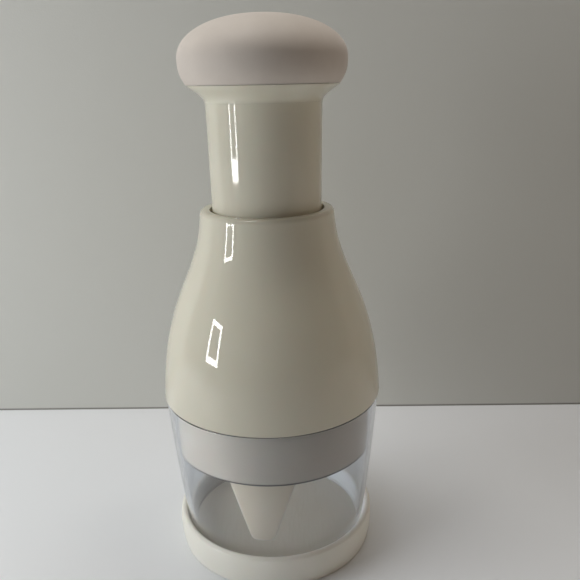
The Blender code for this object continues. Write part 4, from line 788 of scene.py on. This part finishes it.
# %% [markdown]
# ## The clear cup
#
# The cup is a tube open at both ends, wider at the top, with a barely swollen side so that it
# does not look pinched. The wall is 2.2 mm thick and draws in to 0.7 mm over its lowest twelve
# millimetres, so that the floor shows right up to the dish. The rims are rounded, because a
# moulded rim is and because the rounding draws a bright line in clear plastic.

# %% Cup
CUP_FOOT, CUP_FOOT_Z, CUP_RIM_Z = 41.9, 4.5, 76.2
CUP_FLARE, CUP_BOW = 7.3, 0.7
CUP_WALL, CUP_THIN_WALL, CUP_THINNING = 2.2, 0.7, 12.0
RIM_BLEND, FOOT_BLEND = 1.6, 1.0


def cup_side(height):
    """The cup's radius at a share of its height: the foot's, plus the flare times the share,
    plus the bow times four shares of the share that is left."""
    share = (height - CUP_FOOT_Z) / (CUP_RIM_Z - CUP_FOOT_Z)
    return CUP_FOOT + CUP_FLARE * share + 4 * CUP_BOW * share * (1 - share)


def cup_bore(height):
    """The cup's inner radius: over the thinning the wall grows by the share squared times
    three less two shares, which starts and ends level."""
    share = np.clip((height - CUP_FOOT_Z) / CUP_THINNING, 0, 1)
    return cup_side(height) - CUP_THIN_WALL - (CUP_WALL - CUP_THIN_WALL) * share ** 2 * (3 - 2 * share)


wall_z = np.linspace(CUP_RIM_Z - RIM_BLEND, CUP_FOOT_Z + FOOT_BLEND, 60)
cup = turned("clear_cup", np.vstack([
    [(cup_side(CUP_RIM_Z), CUP_RIM_Z, 0.6)], plain(np.column_stack([cup_side(wall_z), wall_z])),
    [(cup_side(CUP_FOOT_Z), CUP_FOOT_Z, 0.15), (cup_bore(CUP_FOOT_Z), CUP_FOOT_Z, 0.15)],
    plain(np.column_stack([cup_bore(wall_z), wall_z])[::-1]),
    [(cup_bore(CUP_RIM_Z), CUP_RIM_Z, 0.6)]]), clear_san)
seat(cup, "cup", "cup")

# %% [markdown]
# ## The bell
#
# The bell is the piece that gives the chopper its figure. Its side is one cubic curve: nearly
# upright at the neck, then a swing outwards, then upright again at the lower edge, so that the
# window's image runs down it in two pieces. Inside, the wall follows at 2.5 mm, with the neck
# lip above and a snap groove below, and four posts hang in it for the plate's screws.

# %% Bell and its posts
NECK, NECK_Z, NECK_ROUNDING, NECK_SEAM_Z = 29.1, 158.5, 2.2, 160.2
NECK_LIP, NECK_LIP_Z, GUIDE_BORE = 24.6, 154.4, 27.0
BELL_EDGE, BELL_EDGE_Z, SIDE_FOOT_Z, EDGE_BLEND_Z = 49.85, 76.5, 77.0, 78.2
NECK_HANDLE, EDGE_HANDLE = (31.0, 130.79), (47.25, 124.68)
BELL_WALL, BORE_FOOT_Z, BORE_Z = 2.5, 81.5, 153.2
SNAP, SNAP_GROOVE, SNAP_Z, SNAP_TOP_Z = 47.35, 47.95, 77.4, 79.9
bell_side = curve((NECK, NECK_Z), NECK_HANDLE, EDGE_HANDLE, (BELL_EDGE, SIDE_FOOT_Z), 150)


def bell_radius(height):
    """The bell's outer radius at a height, read off its side."""
    return np.interp(height, bell_side[::-1, 1], bell_side[::-1, 0])


bore_z = np.linspace(BORE_FOOT_Z, BORE_Z, 70)
bore = np.column_stack([np.maximum(bell_radius(bore_z) - BELL_WALL, GUIDE_BORE), bore_z])
neck_top = arc((NECK - NECK_ROUNDING, NECK_Z), (NECK_ROUNDING, NECK_ROUNDING), 90, 4, 14)
# The seams darken the bell's lower edge and the neck lip: partly dirt, partly painted shade.
bell = turned("bell", np.vstack([
    plain(neck_top), plain(bell_side[bell_side[:, 1] > EDGE_BLEND_Z]),
    [(BELL_EDGE, BELL_EDGE_Z, 0.6), (SNAP, BELL_EDGE_Z, 0.3), (SNAP, SNAP_Z, 0.15),
     (SNAP_GROOVE, SNAP_Z, 0.1), (SNAP_GROOVE, SNAP_TOP_Z, 0.1),
     (bell_radius(SNAP_TOP_Z) - BELL_WALL, SNAP_TOP_Z, 0.1)], plain(bore),
    [(GUIDE_BORE, NECK_LIP_Z, 0.4), (NECK_LIP, NECK_LIP_Z, 0.4),
     (NECK_LIP, NECK_Z + NECK_ROUNDING, 0.5)]]), gloss_abs,
    seams=[(BELL_EDGE - 0.25, BELL_EDGE_Z), (NECK_LIP, NECK_SEAM_Z)])

POST_CIRCLE, POST, POST_BORE, POST_FOOT_Z, POST_BORE_Z = 38.35, 3.4, 1.4, 106.8, 117.4
POST_START_Z = 154


def under_bell(points):
    """Hold points below the middle of the bell's wall, so that a post ends inside it."""
    across = np.hypot(points[..., 0], points[..., 1])
    lid = np.interp(across, bell_side[:, 0] - BELL_WALL / 2, bell_side[:, 1])
    points[..., 2] = np.minimum(points[..., 2], lid)
    return points


posts = [turned("post", [(0, POST_START_Z, 0), (POST, POST_START_Z, 0.1), (POST, POST_FOOT_Z, 0.3),
                         (POST_BORE, POST_FOOT_Z, 0.2), (POST_BORE, POST_BORE_Z, 0.1), (0, POST_BORE_Z, 0)],
                gloss_abs, closed=False, steps=48, centre=spot, fit=under_bell)
         for spot in around(4, POST_CIRCLE)]
seat(merged(bell, posts), "housing", "bell_housing")

# %% [markdown]
# ## Collar and retaining ring
#
# The collar snaps into the bell and carries the wiper on a narrow lip at its lower edge. It
# is the pale band that shows through the clear cup. A split ring sits in a groove above the
# wiper, so that the wiper turns without rattling.

# %% Collar and ring
COLLAR, COLLAR_BORE, COLLAR_FOOT_Z, LIP_BORE, LIP_Z = 44.81, 42.61, 51.4, 40.81, 53.4
CATCH, CATCH_FOOT_Z, CATCH_Z = 47.65, 77.7, 79.6
SKIRT, SKIRT_BORE, SKIRT_Z = 43.28, 41.08, 103.6
RING_GROOVE, RING_GROOVE_FOOT_Z, RING_GROOVE_Z, RING_BORE = 43.11, 55.7, 58.5, 40.11
# The seams paint a near-black line of shade, with some grease, along the collar's lower edge and under the
# bell's edge.
collar = turned("collar_ring", [
    (SKIRT, SKIRT_Z, 0.3), (SKIRT, CATCH_Z, 0.3), (CATCH, CATCH_Z, 0.3), (CATCH, CATCH_FOOT_Z, 0.2),
    (COLLAR, CATCH_FOOT_Z, 0.3), (COLLAR, COLLAR_FOOT_Z, 0.45), (LIP_BORE, COLLAR_FOOT_Z, 0.35),
    (LIP_BORE, LIP_Z, 0.2), (COLLAR_BORE, LIP_Z, 0.2), (COLLAR_BORE, RING_GROOVE_FOOT_Z, 0.1),
    (RING_GROOVE, RING_GROOVE_FOOT_Z, 0.1), (RING_GROOVE, RING_GROOVE_Z, 0.1),
    (COLLAR_BORE, RING_GROOVE_Z, 0.1), (COLLAR_BORE, CATCH_FOOT_Z, 0.4), (SKIRT_BORE, CATCH_Z, 0.4),
    (SKIRT_BORE, SKIRT_Z, 0.3)], grey_pp,
    seams=[(COLLAR, CATCH_FOOT_Z - 0.5), (COLLAR, COLLAR_FOOT_Z + 0.5),
           (COLLAR - 0.21, COLLAR_FOOT_Z + 0.1)])
seat(collar, "housing", "collar")

ring_outer, ring_z, ring_foot_z = (RING_GROOVE - RING_PLAY, RING_GROOVE_Z - RING_PLAY,
                                   RING_GROOVE_FOOT_Z + RING_PLAY)
retainer = turned("retaining_ring", [(ring_outer, ring_z, 0.25), (ring_outer, ring_foot_z, 0.25),
                                     (RING_BORE, ring_foot_z, 0.25), (RING_BORE, ring_z, 0.25)], grey_pp)
seat(retainer, "housing", "wiper_retainer")

# %% [markdown]
# ## The sleeve
#
# The knob stands on a tube that tapers less than a millimetre over its length, just enough to
# leave the mould. A flange at its foot runs in the guide tube and a web inside takes the rod;
# three short posts on the web take the knob's screws. Its mouth opens by a hair in the last
# millimetre and a half, which closes the window's image with a thin bright line.

# %% Sleeve, bumper
SLEEVE_MOUTH, SLEEVE_MOUTH_Z, SLEEVE_SLOPE, MOUTH_CURVE = 24.174, 202.9, 0.0146, 24
SPIGOT, SPIGOT_BORE, SHOULDER_Z, SPIGOT_Z = 22.8, 20.6, 204.42, 208.7
SLEEVE_FOOT, FLANGE, FLANGE_Z, FLANGE_FOOT_Z = 23.438, 25.2, 152.6, 150.0
FOOT_BORE, WEB_BORE, ROD_HOLE, WEB_FOOT_Z, WEB_Z = 21.2, 21.87, 2.7, 196.0, 198.5

mouth_z = np.linspace(SHOULDER_Z, SLEEVE_MOUTH_Z, 10)
mouth = np.column_stack([SLEEVE_MOUTH + SLEEVE_SLOPE * (mouth_z - SLEEVE_MOUTH_Z)
                         + (mouth_z - SLEEVE_MOUTH_Z) ** 2 / (2 * MOUTH_CURVE), mouth_z])
sleeve = turned("sleeve", np.vstack([
    [(SPIGOT, SPIGOT_Z, 0.3), (SPIGOT, SHOULDER_Z, 0.2)], plain(mouth),
    [(SLEEVE_FOOT, FLANGE_Z, 0.3), (FLANGE, FLANGE_Z, 0.3), (FLANGE, FLANGE_FOOT_Z, 0.4),
     (FOOT_BORE, FLANGE_FOOT_Z, 0.4), (WEB_BORE, WEB_FOOT_Z, 0.5), (ROD_HOLE, WEB_FOOT_Z, 0.2),
     (ROD_HOLE, WEB_Z, 0.2), (SPIGOT_BORE, WEB_Z, 0.5), (SPIGOT_BORE, SPIGOT_Z, 0.3)]]), gloss_abs)

KNOB_POST_CIRCLE, KNOB_POST, KNOB_POST_BORE, KNOB_POST_FOOT_Z = 13.0, 3.2, 1.5, 197.5
posts = [turned("post", [(KNOB_POST, SPIGOT_Z, 0.3), (KNOB_POST, KNOB_POST_FOOT_Z, 0.2),
                         (KNOB_POST_BORE, KNOB_POST_FOOT_Z, 0.1), (KNOB_POST_BORE, SPIGOT_Z, 0.2)],
                gloss_abs, steps=40, centre=spot) for spot in around(3, KNOB_POST_CIRCLE)]
seat(merged(sleeve, posts), "plunger", "plunger_sleeve")

BUMPER_BORE, BUMPER_Z, BUMPER_FOOT_Z = 23.83, 154.1, 152.9
bumper = turned("bumper_ring", [(FLANGE, BUMPER_Z, 0.35), (FLANGE, BUMPER_FOOT_Z, 0.35),
                                (BUMPER_BORE, BUMPER_FOOT_Z, 0.25), (BUMPER_BORE, BUMPER_Z, 0.25)], nitrile)
seat(bumper, "plunger", "stroke_bumper")

# %% [markdown]
# ## The knob
#
# Three shells make the knob. The glossy base flares out from the sleeve in a hollow curve and
# carries an upstand; a rigid core snaps over it; and the soft cap is moulded over the core. The
# cap's outline is two cubic curves that meet at the widest point, and the same function draws
# its inner side, drawn in by the wall. The cap ends a tenth of a millimetre above the base,
# which leaves the parting line.

# %% Knob base
KNOB_EDGE, PARTING_Z, EDGE_HANDLE = 31.5, 211.3, (30.2, 209.45)
FLARE_FOOT, FLARE_FOOT_Z, FOOT_HANDLE = 24.3, 204.45, (24.4, 207.1)
UPSTAND, UPSTAND_BORE, UPSTAND_Z = 26.9, 25.1, 214.9
SOCKET, SOCKET_Z, NUT_HOLE, DECK_Z = 23.1, 209.0, 6.0, 211.2
flare = curve((KNOB_EDGE, PARTING_Z), EDGE_HANDLE, FOOT_HANDLE, (FLARE_FOOT, FLARE_FOOT_Z), 40)[1:-2]
knob_base = turned("knob_flare", np.vstack([
    [(UPSTAND, UPSTAND_Z, 0.4), (UPSTAND, PARTING_Z, 0.2), (KNOB_EDGE, PARTING_Z, 0.1)], plain(flare),
    [(FLARE_FOOT, FLARE_FOOT_Z, 0.03), (SOCKET, FLARE_FOOT_Z, 0.1), (SOCKET, SOCKET_Z, 0.2),
     (NUT_HOLE, SOCKET_Z, 0.3), (NUT_HOLE, DECK_Z, 0.3), (UPSTAND_BORE, DECK_Z, 0.4),
     (UPSTAND_BORE, UPSTAND_Z, 0.4)]]), gloss_abs)
seat(knob_base, "plunger", "knob_base")

# %% Knob core and cap
KNOB_WIDEST, KNOB_WIDEST_Z, KNOB_TOP_Z = 34.5, 221.3, 238.4
CROWN_OUT, CROWN_UP, TUCK_IN = 0.57, 0.61, 0.55
TUCK_Z, TUCK_FOOT_Z, CAP_EDGE_Z = 215.8, 213.95, 211.42
KNOB_WALL, CORE_PLAY = 2.0, 0.3


def knob_side(inset, count):
    """The knob's outline from the top to the parting line, drawn in by an inset: one cubic
    curve out and down to the widest point, and one from there in to the edge."""
    widest, edge, top = KNOB_WIDEST - inset, KNOB_EDGE - inset, KNOB_TOP_Z - inset
    crown_z = KNOB_WIDEST_Z + (top - KNOB_WIDEST_Z) * CROWN_UP
    crown = curve((0, top), (widest * CROWN_OUT, top), (widest, crown_z), (widest, KNOB_WIDEST_Z), count)
    tuck = curve((widest, KNOB_WIDEST_Z), (widest, TUCK_Z), (edge + (widest - edge) * TUCK_IN, TUCK_FOOT_Z),
                 (edge, CAP_EDGE_Z), count // 2)
    return np.vstack([crown, tuck[1:]])


def dome(inset, count, rounding):
    """A domed shell: the outer side down to its edge, and the inner side back up to the axis."""
    outer, inner = knob_side(inset, count), knob_side(inset + KNOB_WALL, count)[::-1]
    trim = count // 20 + 1
    return np.vstack([plain(outer[:-trim]), [(*outer[-1], rounding), (*inner[0], 0.3)], plain(inner[trim:])])


knob_core = turned("knob_core_shell", dome(KNOB_WALL + CORE_PLAY, 32, 0.3), satin_abs, closed=False)
seat(knob_core, "plunger", "knob_core")
knob_cap = turned("soft_cap", dome(0, 72, 0.1), soft_touch, closed=False,
                  seams=[(KNOB_EDGE, CAP_EDGE_Z + 0.08)])
seat(knob_cap, "plunger", "knob_cap")

# %% [markdown]
# ## The blade
#
# One strip of steel is bent to a W, so that two strokes at different angles dice what lies
# under it. Its section, a thin upright with a ground wedge below, is carried along the rounded
# path. The same routine with a wider section cuts the slot in the wiper.

# %% Strip along a path
BLADE_TURN, BLADE_BEND = math.radians(-8.5), 2.0
BLADE_REACH, BLADE_BACK = 37.21, 30.51
BLADE_ANGLES = (-117, -34, 180, 34, 117)


def blade_corners(extra=0.0):
    """The five corners of the W in plan, with their bend radius; its ends reach out by extra."""
    angle = BLADE_TURN + np.radians(BLADE_ANGLES)
    radius = np.array([BLADE_REACH, BLADE_REACH, BLADE_BACK, BLADE_REACH, BLADE_REACH])
    corners = np.column_stack([radius * np.sin(angle), -radius * np.cos(angle)])
    corners[0] += unit(corners[0] - corners[1]) * extra
    corners[-1] += unit(corners[-1] - corners[-2]) * extra
    return np.column_stack([corners, np.full(len(corners), BLADE_BEND)])


def strip(name, path, section, finish):
    """Carry a section along a path in plan: path + side * offset, at the section's height.

    The side is the path's direction turned left, from the mean of the steps before and after.
    """
    step = unit(np.diff(path, axis=0))
    along = unit(np.vstack([step[:1], step[:-1] + step[1:], step[-1:]]))
    side = np.column_stack([-along[:, 1], along[:, 0]])
    plan = path[:, None] + side[:, None] * section[None, :, :1]
    points = np.concatenate([plan, np.broadcast_to(section[None, :, 1:], (*plan.shape[:2], 1))], axis=2)
    ends = [np.broadcast_to(points[end].mean(0), (1, *points.shape[1:])) for end in (0, -1)]
    return skin(name, np.concatenate([ends[0], points, ends[1]]), finish)


# %% Blade
BLADE_HALF, EDGE_HALF, BLADE_Z, BEVEL_Z, EDGE_Z = 0.4, 0.1, 101.1, 49.8, 48.0
blade_path, _ = rounded(blade_corners(), closed=False)
blade_section, _ = rounded([
    (BLADE_HALF, BLADE_Z, 0.12), (BLADE_HALF, BEVEL_Z, 0.3), (EDGE_HALF, EDGE_Z, 0.05),
    (-EDGE_HALF, EDGE_Z, 0.05), (-BLADE_HALF, BEVEL_Z, 0.3), (-BLADE_HALF, BLADE_Z, 0.12)])
blade = strip("blade", blade_path, blade_section, blade_steel)
seat(blade, "blade", "zigzag_blade")

# %% [markdown]
# ## The wiper
#
# A slotted disc lets the blade through and scrapes it clean on the way up. Three tongues hang
# from its rim and keep the food in from the cup's wall; one of them shows at the front. A
# tongue is a flat plate with rounded edges, drawn as its outline and then bent: a point's
# sideways distance becomes an angle round the axis, and its depth a change of radius.

# %% A tongue
TONGUE_OUTER, TONGUE_THICK, TONGUE_EDGE = 40.41, 1.5, 0.7
TONGUE_Z, TONGUE_TIP_Z, TONGUE_MIDDLE_Z = 54.6, 21.0, 42.0
TONGUE_ROOT, TONGUE_TIP, TIP_ROUNDING, TONGUE_STEP = 16.35, 4.7, 3.4, 0.8
FACE_ROWS = np.array([0, 0.25, 0.5, 0.7, 0.85])
outline, _ = rounded([(TONGUE_ROOT, TONGUE_Z, 0), (-TONGUE_ROOT, TONGUE_Z, 0),
                      (-TONGUE_TIP, TONGUE_TIP_Z, TIP_ROUNDING), (TONGUE_TIP, TONGUE_TIP_Z, TIP_ROUNDING)])


def tongue(name, turn, finish):
    """A tongue: rows go from the front's middle over the rounded edge to the back's middle.

    A flat point is middle + (outline - middle) * spread, drawn in by the edge's half circle.
    Its sideways distance x becomes the angle arcsin(x / outer radius) round the axis.
    """
    loop = dense(outline, TONGUE_STEP)
    middle = np.array([0, TONGUE_MIDDLE_Z])
    inward = unit(middle - loop)
    half, edge, face = TONGUE_THICK / 2, np.radians(np.linspace(0, 180, 11)), np.zeros(len(FACE_ROWS))
    spread = np.concatenate([FACE_ROWS, np.ones(len(edge)), FACE_ROWS[::-1]])
    inset = np.concatenate([face, TONGUE_EDGE * (1 - np.sin(edge)), face])
    bulge = (half - TONGUE_EDGE) * np.sign(np.cos(edge)) + TONGUE_EDGE * np.cos(edge)
    depth = np.concatenate([face + half, bulge, face - half])
    flat = middle + (loop - middle) * spread[:, None, None] + inward * inset[:, None, None]
    radius = (TONGUE_OUTER - half + depth)[:, None]
    angle = np.arcsin(flat[..., 0] / TONGUE_OUTER) + turn
    points = np.stack([radius * np.sin(angle), -radius * np.cos(angle), flat[..., 1]], axis=-1)
    # The edge mark paints a near-white highlight along the tongue's rounded edge, with a smoother finish.
    return skin(name, points, finish,
                marks={"edge_wear_and_highlight": np.concatenate([face, np.sqrt(np.abs(np.sin(edge))), face])})


# %% Wiper disc, its slot and its tongues
WIPER, WIPER_Z, WIPER_FOOT_Z, SLOT_REACH = 42.26, 55.7, 53.7, 38
SLOT_HALF, SLOT_OVERRUN, SLOT_END = 0.9, 1.5, 0.5
TONGUE_PLACES = (0, 148.5, -148.5)
disc = turned("wiper_plate", [(0, WIPER_Z, 0), (SLOT_REACH, WIPER_Z, 0), (WIPER, WIPER_Z, 0.35),
                              (WIPER, WIPER_FOOT_Z, 0.35), (SLOT_REACH, WIPER_FOOT_Z, 0),
                              (0, WIPER_FOOT_Z, 0)], natural_pp, closed=False)
slot_z, slot_foot_z = WIPER_Z + SLOT_OVERRUN, WIPER_FOOT_Z - SLOT_OVERRUN
slot_path, _ = rounded(blade_corners(SLOT_END), closed=False)
slot_section, _ = rounded([(SLOT_HALF, slot_z, 0), (SLOT_HALF, slot_foot_z, 0),
                           (-SLOT_HALF, slot_foot_z, 0), (-SLOT_HALF, slot_z, 0)])
slot = strip("slot_cutter", slot_path, slot_section, natural_pp)
cut = disc.modifiers.new("slot", 'BOOLEAN')
cut.operation, cut.solver, cut.object = 'DIFFERENCE', 'EXACT', slot
graph = bpy.context.evaluated_depsgraph_get()
pierced = bpy.data.meshes.new_from_object(disc.evaluated_get(graph))
disc.modifiers.clear()
disc.data = pierced
bpy.data.objects.remove(slot)
disc.data.set_sharp_from_angle(angle=SHARP)
tongues = [tongue("tongue", BLADE_TURN + math.radians(place), natural_pp) for place in TONGUE_PLACES]
seat(merged(disc, tongues), "wiper", "wiper")

# %% [markdown]
# ## The return spring
#
# A round wire runs up a helix with one closed turn at each end. A ring of points stands square
# to the wire at every step: outwards from the axis, and along the cross product of that and
# the wire's direction. The real spring is squashed towards its foot as the knob goes down; this
# one keeps its open length.

# %% Spring
SPRING_FOOT, SPRING_TOP, STROKE = 107.9, 194.6, 43.0
WIRE, COIL, TURNS, END_PITCH = 0.9, 17.0, 9, 2.4
TURN_STEPS, WIRE_STEPS = 56, 16
count = np.linspace(0, TURNS, TURNS * TURN_STEPS + 1)
open_pitch = (SPRING_TOP - SPRING_FOOT - 2 * WIRE - 2 * END_PITCH) / (TURNS - 2)
climb = (np.minimum(count, 1) * END_PITCH + np.clip(count - 1, 0, TURNS - 2) * open_pitch
         + np.maximum(count - TURNS + 1, 0) * END_PITCH)
spoke = np.column_stack([np.cos(math.tau * count), np.sin(math.tau * count), 0 * count])
centre = spoke * COIL + np.column_stack([0 * count, 0 * count, SPRING_FOOT + WIRE + climb])
along = unit(np.gradient(centre, axis=0))
rise = unit(np.cross(spoke, along))
ring = (np.arange(WIRE_STEPS) * math.tau / WIRE_STEPS)[:, None]
coil = centre[:, None] + WIRE * (np.cos(ring) * spoke[:, None] + np.sin(ring) * rise[:, None])
ends = [np.broadcast_to(centre[end], (1, *coil.shape[1:])) for end in (0, -1)]
spring = skin("coil_spring", np.concatenate([ends[0], coil, ends[1]]), spring_wire)
seat(spring, "housing", "return_spring")
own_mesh(spring)

# %% [markdown]
# ## The pieces that stay as packed
#
# Screws, nuts, the guide tube, the twisted index tube and the plate are right as they are, so
# only their finishes change. The record says which material slot each one takes.

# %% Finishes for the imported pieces
for row in frame["record"]["subparts"]:
    node = frame["nodes"][row["node"]]
    if not node.hide_render:
        for holder in node.material_slots:
            holder.material = finishes[row["material_slot"]]
        print("packed piece:", row["node"], "in", finishes[row["material_slot"]].name)
